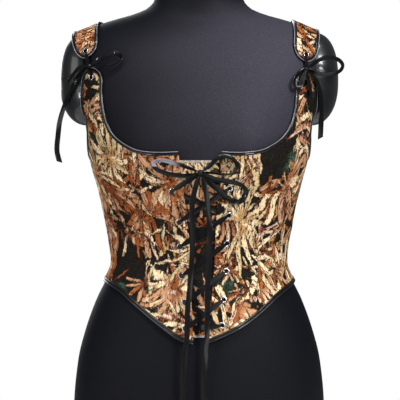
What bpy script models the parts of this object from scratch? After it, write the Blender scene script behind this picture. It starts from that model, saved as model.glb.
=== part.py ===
"""A corset vest of floral tapestry, laced up the front with satin ribbon, on a limbless dress form.

Metres, +Z up. The front faces -Y and +X is the viewer's right. The origin is the middle of the
dress form's flat base. Cloth is worked out from the surface of the form: a level is a distance
outside it, and each panel, binding and ribbon lies between two levels.
"""

import math

import bmesh
import bpy
import numpy as np

SEAM = 0.0003            # gap between two pieces that are sewn together
TAPESTRY = 0.0015        # thickness of the tapestry
REST = 0.0010            # level of the cloth's inner side where it lies on the form
BRIDGE = 0.0008          # how much higher the straps pass over the top of the shoulder
LACED = 0.0042           # the same beside the front opening, over the modesty panel and the ribbon
LACED_HALF = 0.046       # how far from the centre the cloth stays at that level
LACED_FADE = 0.036       # and how far it then takes to come down to the form
MODESTY = 0.0008         # level of the modesty panel's inner side
MODESTY_THICK = 0.0012
TOP_BINDING = 0.0058     # finished widths of the satin bindings
STRAP_BINDING = 0.0052
HEM_BINDING = 0.0065
BINDING_RISE = 0.0006    # how far a binding stands over the tapestry
BINDING_DIP = 0.0002     # how far it goes down again to its sewn edge and to its rolled one
BINDING_ROLL = 0.0007
RIBBON = 0.0070          # width of the satin ribbon
RIBBON_THICK = 0.0008
EYELET_OUTER = 0.0044
EYELET_INNER = 0.0027
EYELET_THICK = 0.0008
EYELET_LIFT = 0.00045    # its gap to the tapestry
HOLE = 0.0031
EYELET_SIDES, HOLE_SIDES = 10, 12
PEG = 0.006              # how far a hole's cutter reaches either way
KNOT = 0.0040            # radius of the front knot

AXIS_Y = 0.005           # the line that turns are measured round, 0 at the front and pi/2 at +X
HUB_Y, HUB_Z = 0.012, 0.470   # the line along X that the shoulder straps go round

# The dress form's level sections, from its flat base to the top of its neck.
FORM_COLUMNS = ("height", "half_width", "front", "back", "centre_y", "squareness")
FORM = (
    (0.0000, 0.1700, 0.105, 0.112, 0.000, 2.10),
    (0.0550, 0.1680, 0.105, 0.116, 0.000, 2.10),
    (0.1070, 0.1625, 0.102, 0.112, 0.000, 2.10),
    (0.1470, 0.1525, 0.098, 0.102, 0.000, 2.05),
    (0.1870, 0.1380, 0.091, 0.089, 0.000, 2.00),
    (0.2130, 0.1255, 0.0858, 0.0820, 0.000, 2.00),
    (0.2370, 0.1165, 0.0832, 0.0785, 0.000, 2.00),
    (0.2670, 0.1195, 0.0856, 0.0800, 0.000, 2.00),
    (0.2930, 0.1245, 0.090, 0.084, 0.000, 2.05),
    (0.3200, 0.1300, 0.097, 0.090, 0.000, 2.10),
    (0.3470, 0.1370, 0.106, 0.095, 0.000, 2.15),
    (0.3730, 0.1440, 0.112, 0.099, 0.000, 2.20),
    (0.4000, 0.1500, 0.113, 0.102, 0.000, 2.25),
    (0.4300, 0.1530, 0.110, 0.104, 0.000, 2.30),
    (0.4600, 0.1580, 0.103, 0.103, 0.002, 2.45),
    (0.4900, 0.1630, 0.094, 0.098, 0.004, 2.60),
    (0.5150, 0.1650, 0.083, 0.091, 0.006, 2.60),
    (0.5350, 0.1620, 0.071, 0.083, 0.009, 2.60),
    (0.5470, 0.1530, 0.062, 0.076, 0.011, 2.50),
    (0.5555, 0.1380, 0.056, 0.071, 0.013, 2.40),
    (0.5630, 0.1160, 0.052, 0.066, 0.015, 2.25),
    (0.5710, 0.0880, 0.050, 0.061, 0.016, 2.10),
    (0.5790, 0.0700, 0.050, 0.057, 0.017, 2.00),
    (0.5900, 0.0605, 0.050, 0.053, 0.018, 2.00),
    (0.6200, 0.0550, 0.050, 0.049, 0.018, 2.00),
    (0.6640, 0.0530, 0.050, 0.047, 0.018, 2.00),
)
BUST_X, BUST_Z = 0.074, 0.385
BUST_DEPTH, BUST_SPREAD_X, BUST_SPREAD_Z = 0.010, 0.034, 0.048

CAP_CENTRE = (0.150, 0.010, 0.4785)
CAP_HALF = (0.038, 0.048)
CAP_UP, CAP_DOWN = 0.068, 0.058
CAP_SQUARE_UP, CAP_SQUARE_DOWN = 2.6, 2.2
CAP_BLEND = 0.010        # the cloth bridges the crease between the cap and the shoulder

# The corset's finished front lines as seen from the front: distances from the centre line.
OPENING = (              # height, distance on the left, distance on the right
    (0.1320, 0.0078, 0.0135),
    (0.1450, 0.0082, 0.0145),
    (0.1890, 0.0094, 0.0172),
    (0.2270, 0.0110, 0.0195),
    (0.2630, 0.0124, 0.0208),
    (0.3000, 0.0162, 0.0227),
    (0.3340, 0.0205, 0.0257),
    (0.3900, 0.0283, 0.0310),
)
NECK_CORNER_Z = 0.3850
TOP_EDGE = (             # distance from the centre line, height: the neckline, the strap's tip, the armhole
    (0.0550, 0.3842),
    (0.0790, 0.3868),
    (0.0925, 0.3925),
    (0.1070, 0.4025),
    (0.1180, 0.4170),
    (0.1245, 0.4370),
    (0.1273, 0.4600),
    (0.1270, 0.4790),
    (0.1305, 0.4900),
    (0.1400, 0.4965),
    (0.1505, 0.4920),
    (0.1560, 0.4800),
    (0.1580, 0.4600),
    (0.1560, 0.4380),
)
UNDERARM = (             # turn, height, on to the side seam
    (1.330, 0.4080),
    (1.440, 0.3870),
)
SIDE_TOP_Z = 0.3790
BACK_ARMHOLE = (         # turn, height, from the side seam up
    (1.720, 0.3830),
    (1.870, 0.4020),
    (2.000, 0.4320),
)
STRAP_ROOT_Z = 0.4600
STRAP = (                # angle over the shoulder, 0 at its top; distances of the two edges
    (-1.45, 0.1010, 0.1370),
    (-1.05, 0.1100, 0.1460),
    (-0.60, 0.1200, 0.1560),
    (-0.15, 0.1280, 0.1640),
    (0.25, 0.1298, 0.1658),
)
TAB = (                  # distance, height, from its outer edge round its end to its inner edge
    (0.1655, 0.5350),
    (0.1635, 0.5210),
    (0.1580, 0.5110),
    (0.1475, 0.5055),
    (0.1370, 0.5110),
    (0.1310, 0.5210),
    (0.1297, 0.5350),
)
STRAP_SHIFT = {"left": 0.0045, "right": -0.0045}   # the two shoulder straps lie a little unevenly
STRAP_LIFT = {"left": 0.0025, "right": -0.0025}
BACK_NECK = (            # turn, height, from the strap down to the centre back
    (2.300, 0.4420),
    (2.560, 0.4270),
    (2.850, 0.4180),
)
BACK_NECK_Z = 0.4150
CENTRE_BACK = math.pi - 0.0020   # turns of the edges at the centre back and on both sides of the side seam
SIDE_FRONT_END = math.pi / 2 - 0.0012
SIDE_BACK_START = math.pi / 2 + 0.0012
HEM = (                  # distance, height on the left, height on the right
    (0.0100, 0.1285, 0.1290),
    (0.0253, 0.1335, 0.1350),
    (0.0453, 0.1470, 0.1440),
    (0.0653, 0.1625, 0.1560),
    (0.0880, 0.1815, 0.1740),
    (0.1060, 0.1975, 0.1910),
)
HEM_SIDE_Z = 0.2120
HEM_BACK_Z = 0.2020
PRINCESS = (             # height, distance on the left, distance on the right
    (0.1500, 0.0630, 0.0740),
    (0.1800, 0.0645, 0.0760),
    (0.2430, 0.0700, 0.0775),
    (0.3100, 0.0745, 0.0790),
    (0.3950, 0.0810, 0.0810),
)

# The eyelets beside the opening, from the top.
EYELETS = (              # left height, left distance, right height, right distance
    (0.3320, 0.0350, 0.3355, 0.0405),
    (0.2912, 0.0255, 0.2998, 0.0395),
    (0.2585, 0.0250, 0.2625, 0.0370),
    (0.2198, 0.0228, 0.2258, 0.0357),
    (0.1845, 0.0186, 0.1885, 0.0324),
    (0.1500, 0.0180, 0.1545, 0.0307),
)
TIP_EYELET = (0.1432, 0.4835)   # distance, height
TAB_EYELET = (0.1472, 0.5165)

BONE_COLUMNS = slice(4, 7)   # the boning channel lies across these of the centre front's columns
BONE_RISE = 0.0006
MODESTY_SIDES = (-0.042, 0.048)
MODESTY_TOP = 0.3720
MODESTY_LOW = (          # x, height of the modesty panel's lower edge, which stays above the hem
    (-0.0420, 0.1540),
    (-0.0220, 0.1385),
    (0.0230, 0.1385),
    (0.0480, 0.1540),
)

# The knots, with their distance or x, height and level, and the ribbons that leave them. In a ribbon's
# rows the third value is its level where it is positive and its y where it is negative, and the fourth
# its lean in degrees: 0 edge on to the viewer, 90 flat to them.
KNOT_PLACE = (0.0020, 0.3560, 0.0105)
TIE_KNOTS = {"left": (0.1460, 0.4985, 0.0080), "right": (0.1427, 0.4940, 0.0084)}
TIE_KNOT = 0.0031
KNOT_GAP = 0.0005        # from a knot to the ribbons that leave it
PINCH = 0.0016           # width of a ribbon where it enters a knot
PINCH_LENGTH = 0.012
BOW_LOOP_POINTS, BOW_TAIL_POINTS, TIE_LOOP_POINTS, TIE_TAIL_POINTS = 20, 18, 16, 12
BOW_LOOPS = {
    "bow_loop_left": (
        (-0.0024, 0.3586, 0.0114, 50),
        (-0.0120, 0.3615, 0.0118, 50),
        (-0.0280, 0.3669, 0.0121, 48),
        (-0.0440, 0.3713, 0.0118, 45),
        (-0.0547, 0.3718, 0.0114, 40),
        (-0.0600, 0.3665, 0.0112, 35),
        (-0.0547, 0.3600, 0.0112, 35),
        (-0.0413, 0.3547, 0.0114, 38),
        (-0.0253, 0.3520, 0.0116, 40),
        (-0.0120, 0.3522, 0.0116, 40),
        (-0.0030, 0.3545, 0.0112, 40),
    ),
    "bow_loop_right": (
        (0.0060, 0.3592, 0.0114, 50),
        (0.0147, 0.3655, 0.0118, 48),
        (0.0240, 0.3745, 0.0119, 42),
        (0.0347, 0.3776, 0.0118, 38),
        (0.0453, 0.3733, 0.0116, 38),
        (0.0500, 0.3640, 0.0116, 38),
        (0.0455, 0.3560, 0.0116, 38),
        (0.0350, 0.3535, 0.0118, 42),
        (0.0213, 0.3550, 0.0120, 45),
        (0.0072, 0.3572, 0.0118, 45),
    ),
    "bow_loop_low": (
        (0.0056, 0.3522, 0.0094, 80),
        (0.0135, 0.3432, 0.0096, 84),
        (0.0253, 0.3335, 0.0099, 87),
        (0.0360, 0.3240, 0.0097, 86),
        (0.0440, 0.3187, 0.0090, 76),
        (0.0520, 0.3173, 0.0086, 64),
        (0.0593, 0.3227, 0.0088, 57),
        (0.0620, 0.3307, 0.0088, 57),
        (0.0580, 0.3380, 0.0088, 64),
        (0.0480, 0.3425, 0.0090, 80),
        (0.0350, 0.3450, 0.0094, 88),
        (0.0200, 0.3475, 0.0098, 86),
        (0.0066, 0.3548, 0.0096, 82),
    ),
}
BOW_TAILS = {
    "bow_tail_left": (
        (0.0004, 0.3512, -0.1195, 90),
        (-0.0042, 0.3380, -0.1212, 84),
        (-0.0090, 0.3120, -0.1208, 76),
        (-0.0082, 0.2660, -0.1196, 88),
        (-0.0120, 0.2067, -0.1182, 100),
        (-0.0153, 0.1733, -0.1178, 92),
        (-0.0160, 0.1387, -0.1172, 80),
        (-0.0200, 0.1000, -0.1166, 88),
        (-0.0214, 0.0440, -0.1160, 96),
    ),
    "bow_tail_right": (
        (0.0036, 0.3512, -0.1195, 90),
        (0.0082, 0.3360, -0.1214, 98),
        (0.0135, 0.2960, -0.1206, 104),
        (0.0142, 0.2660, -0.1196, 92),
        (0.0112, 0.2067, -0.1184, 82),
        (0.0107, 0.1600, -0.1176, 94),
        (0.0102, 0.1270, -0.1170, 104),
        (0.0070, 0.0950, -0.1164, 92),
        (0.0052, 0.0440, -0.1160, 84),
    ),
}
TIE_LOOPS = {
    "tie_loop_left": ("left", (
        (0.1425, 0.5000, 0.0085, 45),
        (0.1320, 0.5067, 0.0085, 45),
        (0.1213, 0.5127, 0.0080, 45),
        (0.1107, 0.5147, 0.0075, 42),
        (0.1033, 0.5107, 0.0070, 40),
        (0.1053, 0.5040, 0.0070, 40),
        (0.1160, 0.4985, 0.0078, 42),
        (0.1293, 0.4962, 0.0086, 45),
        (0.1423, 0.4970, 0.0085, 45),
    )),
    "tie_loop_right": ("right", (
        (0.1456, 0.4962, -0.0648, 45),
        (0.1600, 0.5060, -0.0760, 45),
        (0.1733, 0.5095, -0.0680, 45),
        (0.1860, 0.5062, -0.0590, 42),
        (0.1915, 0.4987, -0.0530, 40),
        (0.1853, 0.4905, -0.0560, 40),
        (0.1693, 0.4870, -0.0640, 45),
        (0.1547, 0.4885, -0.0720, 45),
        (0.1460, 0.4924, -0.0648, 45),
    )),
    "tie_loop_small_right": ("right", (
        (0.1393, 0.4928, 0.0085, 50),
        (0.1330, 0.4880, 0.0085, 48),
        (0.1275, 0.4813, 0.0082, 42),
        (0.1250, 0.4740, 0.0080, 40),
        (0.1285, 0.4680, 0.0080, 40),
        (0.1340, 0.4712, 0.0082, 42),
        (0.1378, 0.4800, 0.0085, 45),
        (0.1410, 0.4902, 0.0084, 50),
    )),
}
TIE_TAILS = {
    "tie_tail_left": ("left", (
        (0.1492, 0.4965, 0.0080, 80),
        (0.1587, 0.4880, 0.0075, 75),
        (0.1700, 0.4690, 0.0065, 65),
        (0.1800, 0.4480, -0.0210, 60),
        (0.1867, 0.4267, -0.0180, 75),
        (0.1893, 0.4067, -0.0180, 95),
        (0.1907, 0.3867, -0.0200, 85),
        (0.1872, 0.3710, -0.0200, 75),
    )),
    "tie_end_left": ("left", (
        (0.1498, 0.4995, 0.0090, 70),
        (0.1600, 0.4960, 0.0110, 70),
        (0.1690, 0.4860, 0.0110, 60),
        (0.1770, 0.4770, 0.0100, 50),
    )),
    "tie_tail_right": ("right", (
        (0.1455, 0.4910, 0.0080, 80),
        (0.1540, 0.4830, 0.0080, 75),
        (0.1613, 0.4667, 0.0070, 70),
        (0.1640, 0.4400, 0.0060, 80),
        (0.1635, 0.4220, -0.0260, 90),
        (0.1627, 0.4027, -0.0250, 80),
    )),
    "tie_end_right": ("right", (
        (0.1430, 0.4895, 0.0090, 85),
        (0.1450, 0.4800, 0.0085, 80),
        (0.1475, 0.4700, 0.0070, 80),
        (0.1493, 0.4600, 0.0065, 85),
    )),
}

TAPESTRY_COLOUR = (0.42, 0.26, 0.15, 1.0)
SATIN_COLOUR = (0.012, 0.012, 0.013, 1.0)
METAL_COLOUR = (0.62, 0.61, 0.59, 1.0)
JERSEY_COLOUR = (0.030, 0.029, 0.033, 1.0)
GLOSS_COLOUR = (0.010, 0.010, 0.011, 1.0)


def smooth(table, column, at):
    """A column of a table at some values of its first column, on a curve without overshoot."""
    rows = np.array(table)
    xs, ys = rows[:, 0], rows[:, column]
    step = np.diff(xs)
    slope = np.diff(ys) / step
    tangent = np.zeros_like(ys)
    product = slope[:-1] * slope[1:]
    same = product > 0
    tangent[1:-1][same] = 2 * product[same] / (slope[:-1] + slope[1:])[same]
    tangent[0], tangent[-1] = slope[0], slope[-1]
    at = np.clip(at, xs[0], xs[-1])
    i = np.clip(np.searchsorted(xs, at) - 1, 0, len(step) - 1)
    h, t = step[i], (at - xs[i]) / step[i]
    low = (1 + 2 * t) * (1 - t) ** 2 * ys[i] + t * (1 - t) ** 2 * h * tangent[i]
    return low + t * t * (3 - 2 * t) * ys[i + 1] - t * t * (1 - t) * h * tangent[i + 1]


def fade(value, start, end):
    """1 up to start, 0 from end on, smooth between."""
    t = np.clip((value - start) / (end - start), 0, 1)
    return 1 - t * t * (3 - 2 * t)


def section(z):
    """The form's half width, front depth, back depth, centre and squareness at a height."""
    return [smooth(FORM, column, z) for column in range(1, len(FORM_COLUMNS))]


def bust(x, z):
    across = np.exp(-((np.abs(x) - BUST_X) / BUST_SPREAD_X) ** 2)
    return BUST_DEPTH * across * np.exp(-((z - BUST_Z) / BUST_SPREAD_Z) ** 2)


def torso_field(p):
    """Roughly the distance outside the torso."""
    half, front, back, centre, square = section(p[..., 2])
    x, y = p[..., 0], p[..., 1] - centre
    depth = np.where(y < 0, front + bust(x, p[..., 2]), back)
    ratio = (np.abs(x / half) ** square + np.abs(y / depth) ** square) ** (1 / square)
    return np.hypot(x, y) * (1 - 1 / np.maximum(ratio, 1e-6))


def cap_field(p):
    """Roughly the distance outside the shoulder cap of p's own side."""
    x = np.abs(p[..., 0]) - CAP_CENTRE[0]
    y, z = p[..., 1] - CAP_CENTRE[1], p[..., 2] - CAP_CENTRE[2]
    high = np.where(z > 0, CAP_UP, CAP_DOWN)
    square = np.where(z > 0, CAP_SQUARE_UP, CAP_SQUARE_DOWN)
    ratio = np.abs(x / CAP_HALF[0]) ** square + np.abs(y / CAP_HALF[1]) ** square
    ratio = (ratio + np.abs(z / high) ** square) ** (1 / square)
    return np.sqrt(x * x + y * y + z * z) * (1 - 1 / np.maximum(ratio, 1e-6))


def field(p):
    """What carries the cloth: the torso and the caps, with the crease between them bridged."""
    torso, cap = torso_field(p), cap_field(p)
    overlap = np.maximum(CAP_BLEND - np.abs(torso - cap), 0) / CAP_BLEND
    return np.minimum(torso, cap) - overlap * overlap * CAP_BLEND / 4


def gradient(p):
    step = 1e-4
    slopes = []
    for axis in np.eye(3) * step:
        slopes.append((field(p + axis) - field(p - axis)) / (2 * step))
    return np.stack(slopes, -1)


def normals(p):
    g = gradient(p)
    return g / np.linalg.norm(g, axis=-1, keepdims=True)


def level_of(p):
    """Distance outside the surface that carries the cloth."""
    return field(p) / np.linalg.norm(gradient(p), axis=-1)


def reach(origin, direction, level, least, most):
    """The points along rays that lie at a level, found by halving."""
    near, far = np.full(origin.shape[:-1], least), np.full(origin.shape[:-1], most)
    for _ in range(26):
        middle = (near + far) / 2
        inside = level_of(origin + direction * middle[..., None]) < level
        near, far = np.where(inside, middle, near), np.where(inside, far, middle)
    return origin + direction * near[..., None]


def from_front(x, z, level):
    """Points at a level that stand at x, z seen from the front."""
    x, z = np.broadcast_arrays(np.asarray(x, float), np.asarray(z, float))
    origin = np.stack([x, np.zeros_like(x), z], -1)
    return reach(origin, np.array([0.0, -1.0, 0.0]), level, 0.0, 0.25)


def around(turn, z, level):
    """Points at a level, by their turn round the vertical axis and their height."""
    turn, z = np.broadcast_arrays(np.asarray(turn, float), np.asarray(z, float))
    origin = np.stack([np.zeros_like(z), np.full_like(z, AXIS_Y), z], -1)
    direction = np.stack([np.sin(turn), -np.cos(turn), np.zeros_like(z)], -1)
    return reach(origin, direction, level, 0.02, 0.30)


def over(angle, x, level):
    """Points at a level, by their angle over the shoulder and their x."""
    angle, x = np.broadcast_arrays(np.asarray(angle, float), np.asarray(x, float))
    origin = np.stack([x, np.full_like(x, HUB_Y), np.full_like(x, HUB_Z)], -1)
    direction = np.stack([np.zeros_like(x), -np.sin(angle), np.cos(angle)], -1)
    return reach(origin, direction, level, 0.0, 0.20)


def turn_of(p):
    """Points as their turn round the vertical axis, half a turn at the centre back, and their height."""
    turn = np.arctan2(p[..., 0], AXIS_Y - p[..., 1])
    return np.stack([np.where(turn < -math.pi / 2, turn + 2 * math.pi, turn), p[..., 2]], -1)


def settle(p, level):
    """Points slid along the surface's normals on to a level."""
    for _ in range(5):
        g = gradient(p)
        size = np.linalg.norm(g, axis=-1, keepdims=True)
        p = p - (field(p)[..., None] - np.asarray(level)[..., None] * size) * g / size**2
    return p


def cloth_level(p):
    """Level of the tapestry's inner side: raised beside the laced opening and on top of the shoulder."""
    front = np.where(p[..., 1] < 0, 1.0, 0.0)
    laced = (LACED - REST) * front * fade(np.abs(p[..., 0]), LACED_HALF, LACED_HALF + LACED_FADE)
    return REST + laced + BRIDGE * (1 - fade(p[..., 2], 0.520, 0.535))


def curve(points, count):
    """A smooth curve through points, as count points evenly spaced along it."""
    points = np.asarray(points, float)
    before, after = 2 * points[:1] - points[1:2], 2 * points[-1:] - points[-2:-1]
    knots = np.concatenate([before, points, after])
    t = np.linspace(0, 1, 16, endpoint=False)[:, None]
    spans = []
    for a, b, c, d in zip(knots, knots[1:], knots[2:], knots[3:]):
        spans.append(0.5 * (2 * b + (c - a) * t + (2 * a - 5 * b + 4 * c - d) * t * t
                            + (3 * b - a - 3 * c + d) * t**3))
    line = np.concatenate([*spans, points[-1:]])
    return even(line, count)


def even(line, count):
    """A polyline's points, moved to stand evenly along it."""
    along = np.concatenate([[0], np.cumsum(np.linalg.norm(np.diff(line, axis=0), axis=1))])
    at = np.linspace(0, along[-1], count)
    return np.stack([np.interp(at, along, line[:, k]) for k in range(line.shape[1])], -1)


def frames(line):
    """Each point's direction along a line on the surface, the surface's normal and the way across."""
    along = np.gradient(line, axis=0)
    along /= np.linalg.norm(along, axis=1, keepdims=True)
    out = normals(line)
    across = np.cross(along, out)
    return along, out, across / np.linalg.norm(across, axis=1, keepdims=True)


# Materials and meshes.

def material(name, colour, roughness, metallic=0.0):
    made = bpy.data.materials.new(name)
    made.use_nodes = True
    made.diffuse_color = colour
    shader = made.node_tree.nodes["Principled BSDF"]
    shader.inputs["Base Color"].default_value = colour
    shader.inputs["Roughness"].default_value = roughness
    shader.inputs["Metallic"].default_value = metallic
    return made


def solid(name, points, faces, finish):
    """An object of one closed mesh, its normals facing out."""
    mesh = bpy.data.meshes.new(name)
    mesh.from_pydata([tuple(map(float, p)) for p in points], [], faces)
    shape = bmesh.new()
    shape.from_mesh(mesh)
    bmesh.ops.recalc_face_normals(shape, faces=shape.faces)
    bmesh.ops.triangulate(shape, faces=shape.faces)
    if shape.calc_volume(signed=True) < 0:
        bmesh.ops.reverse_faces(shape, faces=shape.faces)
    shape.to_mesh(mesh)
    shape.free()
    mesh.shade_smooth()
    mesh.set_sharp_from_angle(angle=math.radians(40))
    mesh.materials.append(finish)
    made = bpy.data.objects.new(name, mesh)
    bpy.context.scene.collection.objects.link(made)
    return made


def wall(name, inner, outer, finish):
    """A closed wall between two grids of points with the same rows and columns."""
    rows, columns = inner.shape[:2]
    size = rows * columns
    points = np.concatenate([inner.reshape(-1, 3), outer.reshape(-1, 3)])
    faces = []
    for i in range(rows - 1):
        for j in range(columns - 1):
            a, b = i * columns + j, (i + 1) * columns + j
            faces.append((a, b, b + 1, a + 1))
            faces.append((size + a, size + a + 1, size + b + 1, size + b))
    rim = [(0, j) for j in range(columns)] + [(i, columns - 1) for i in range(1, rows)]
    rim += [(rows - 1, j) for j in range(columns - 2, -1, -1)] + [(i, 0) for i in range(rows - 2, 0, -1)]
    for (i, j), (k, m) in zip(rim, rim[1:] + rim[:1]):
        a, b = i * columns + j, k * columns + m
        faces.append((a, b, size + b, size + a))
    return solid(name, points, faces, finish)


def tube(name, rings, finish, closed=False):
    """A closed body through rings that have the same number of points."""
    count, sides = rings.shape[:2]
    faces = []
    for i in range(count if closed else count - 1):
        for j in range(sides):
            a, b = i * sides + j, i * sides + (j + 1) % sides
            c, d = (i + 1) % count * sides + j, (i + 1) % count * sides + (j + 1) % sides
            faces.append((a, b, d, c))
    if not closed:
        faces += [tuple(range(sides))[::-1], tuple(range((count - 1) * sides, count * sides))]
    return solid(name, rings.reshape(-1, 3), faces, finish)


def cut(body, cutter):
    """Takes a hidden cutter out of a body."""
    modifier = body.modifiers.new("cut", "BOOLEAN")
    modifier.operation = "DIFFERENCE"
    modifier.solver = "EXACT"
    modifier.object = cutter
    cutter.hide_render = True
    cutter.display_type = "WIRE"


# The dress form and its shoulder caps.

FORM_SIDES = 36
FORM_HEIGHTS = np.concatenate([
    [0.0, 0.050, 0.100, 0.140, 0.175], np.linspace(0.205, 0.265, 5), np.linspace(0.290, 0.510, 9),
    [0.527, 0.540, 0.5495, 0.557, 0.565, 0.573, 0.581, 0.595, 0.625, 0.657]])


def torso_rings(heights, spread):
    """Level sections of the torso, spread outward."""
    rings = []
    for z in heights:
        half, front, back, centre, square = section(np.array([z]))
        turn = np.linspace(0, 2 * math.pi, FORM_SIDES, endpoint=False)
        side, ahead = np.sin(turn), -np.cos(turn)
        x = np.sign(side) * np.abs(side) ** (2 / square) * half
        depth = np.where(ahead < 0, front + bust(x, z), back)
        y = np.sign(ahead) * np.abs(ahead) ** (2 / square) * depth
        away = np.stack([x, y], -1)
        away *= 1 + spread / np.linalg.norm(away, axis=1, keepdims=True)
        rings.append(np.column_stack([away[:, 0], away[:, 1] + centre, np.full(FORM_SIDES, z)]))
    return np.array(rings)


def build_form(jersey):
    rings = torso_rings(FORM_HEIGHTS, 0.0)
    top = rings[-1].copy()
    centre = top.mean(0)
    top = centre + (top - centre) * 0.90
    top[:, 2] = FORM[-1][0]
    return tube("dress_form", np.concatenate([rings, top[None]]), jersey)


def build_cap(side, name, gloss, torso_cutter):
    """A domed cap on the arm stump, cut off where it meets the shoulder."""
    rings = []
    for lift in np.linspace(-0.46, 0.46, 10) * math.pi:
        up, out = math.sin(lift), math.cos(lift)
        high = CAP_UP if up > 0 else CAP_DOWN
        square = CAP_SQUARE_UP if up > 0 else CAP_SQUARE_DOWN
        z = math.copysign(abs(up) ** (2 / square), up) * high
        turn = np.linspace(0, 2 * math.pi, 16, endpoint=False)
        shrink = out ** (2 / square)
        x = np.sign(np.cos(turn)) * np.abs(np.cos(turn)) ** (2 / square) * CAP_HALF[0] * shrink
        y = np.sign(np.sin(turn)) * np.abs(np.sin(turn)) ** (2 / square) * CAP_HALF[1] * shrink
        rings.append(np.column_stack([side * (CAP_CENTRE[0] + x), CAP_CENTRE[1] + y,
                                      np.full(len(x), CAP_CENTRE[2] + z)]))
    cap = tube(name, np.array(rings), gloss)
    cut(cap, torso_cutter)
    return cap


# The corset's lines. They are worked out on the +X side with each side's own measures, and the left
# side's are then mirrored.

TOP_POINTS, BACK_POINTS, HEM_POINTS = 110, 260, 120
SIDE = {"left": -1, "right": 1}
COLUMN = {"left": 1, "right": 2}


def placed(points, name):
    """Points worked out at +X, on their own side."""
    return points * np.array([SIDE[name], 1, 1])


def opening_x(name, z):
    return smooth(OPENING, COLUMN[name], z)


def princess_x(name, z):
    return smooth(PRINCESS, COLUMN[name], z)


def edge(controls, count):
    """A smooth line on the surface through some of its points."""
    line = settle(curve(np.concatenate(controls), count), REST)
    return even(line, count)


def front_points(table):
    rows = np.array(table)
    return from_front(rows[:, 0], rows[:, 1], REST)


def turned_points(table):
    rows = np.array(table)
    return around(rows[:, 0], rows[:, 1], REST)


def top_edge(name):
    """The finished upper edge of the fronts: neckline, strap's tip and armhole, to the side seam."""
    corner = float(opening_x(name, np.array([NECK_CORNER_Z]))[0])
    return edge([front_points([(corner, NECK_CORNER_Z), *TOP_EDGE]),
                 turned_points([*UNDERARM, (SIDE_FRONT_END, SIDE_TOP_Z)])], TOP_POINTS)


def back_edge(name):
    """The finished edge from the side seam up the armhole, round the shoulder strap and along the neck."""
    strap, tab = np.array(STRAP), np.array(TAB)
    share = np.linspace(0, 1, len(strap))
    shift, lift = STRAP_SHIFT[name] * share, STRAP_LIFT[name]
    outer = over(strap[:, 0], strap[:, 2] + shift, REST)
    inner = over(strap[::-1, 0], (strap[:, 1] + shift)[::-1], REST)
    front = from_front(tab[:, 0] + STRAP_SHIFT[name], tab[:, 1] + lift, REST)
    return edge([turned_points([(SIDE_BACK_START, SIDE_TOP_Z), *BACK_ARMHOLE]), outer, front, inner,
                 turned_points([*BACK_NECK, (CENTRE_BACK, BACK_NECK_Z)])], BACK_POINTS)


def hem_edge(name):
    """The finished hem, from the opening to the centre back."""
    start = float(opening_x(name, np.array([HEM[0][COLUMN[name]]]))[0])
    xs = np.linspace(start, HEM[-1][0], 9)
    front = from_front(xs, smooth(HEM, COLUMN[name], xs), REST)
    return edge([front, turned_points([(math.pi / 2, HEM_SIDE_Z), (2.3, HEM_BACK_Z + 0.003),
                                       (CENTRE_BACK, HEM_BACK_Z)])], HEM_POINTS)


def shifted(line, distance):
    """A line on the surface moved over it, to the right of its direction."""
    return settle(line + frames(line)[2] * distance, REST)


def meetings(value):
    """Where along a line, counted in its points, a value of each point passes zero."""
    before = np.flatnonzero(value[:-1] * value[1:] < 0)
    return [i + value[i] / (value[i] - value[i + 1]) for i in before]


def between(start, end, share):
    """Places along a line, at shares of the way from one to another."""
    return start + (end - start) * np.asarray(share)


def at(line, places):
    """The points of a line at places counted in its points."""
    return np.stack([np.interp(places, np.arange(len(line)), line[:, k]) for k in range(3)], -1)


def on_opening(name, point):
    return from_front(opening_x(name, point[2:3]), point[2:3], REST)[0]


def on_turn(turn, point):
    return around(np.array([turn]), point[2:3], REST)[0]


LOWER_ROWS, UPPER_ROWS, STRAP_ROWS = 14, 8, 15
LOWER_SHARE = np.linspace(0, 1, LOWER_ROWS)
UPPER_SHARE = np.linspace(0, 1, UPPER_ROWS)
STRAP_SHARE = np.linspace(0, 1, STRAP_ROWS)
FRONT_ACROSS = np.array([0.0, 0.16, 0.32, 0.42, 0.445, 0.50, 0.555, 0.58, 0.72, 0.86, 1.0])
SIDE_ACROSS = np.array([0.0, 0.19, 0.37, 0.53, 0.67, 0.79, 0.90, 1.0])
BACK_ACROSS = np.array([0.0, 0.07, 0.15, 0.24, 0.35, 0.48, 0.63, 0.80, 1.0])
TAB_ACROSS = np.linspace(0, 1, 5)
HALF_TIP = 3.5


def top_lines(name):
    """The finished upper edge of the fronts, the panels' edge inside its binding, and their places on it."""
    line = top_edge(name)
    inner = shifted(line, TOP_BINDING)
    inner[0], inner[-1] = on_opening(name, inner[0]), on_turn(SIDE_FRONT_END, inner[-1])
    neck = meetings(inner[:, 0] - princess_x(name, inner[:, 2]))[0]
    tip = int(np.argmax(inner[:, 2]))
    return line, inner, {
        "front": between(0, neck, FRONT_ACROSS),
        "neck": between(neck, tip - HALF_TIP, UPPER_SHARE),
        "tip": between(tip - HALF_TIP, tip + HALF_TIP, SIDE_ACROSS),
        "arm": between(len(line) - 1, tip + HALF_TIP, UPPER_SHARE),
    }


def hem_lines(name):
    """The finished hem, the panels' edge above its binding, and their places on it."""
    line = hem_edge(name)
    inner = shifted(line, -HEM_BINDING)
    inner[0], inner[-1] = on_opening(name, inner[0]), on_turn(CENTRE_BACK, inner[-1])
    princess = meetings(inner[:, 0] - princess_x(name, inner[:, 2]))[0]
    side = meetings(turn_of(inner)[:, 0] - math.pi / 2)[0]
    return line, inner, {
        "front": between(0, princess, FRONT_ACROSS),
        "side": between(princess, side, SIDE_ACROSS),
        "back": between(side, len(line) - 1, BACK_ACROSS),
    }


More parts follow.
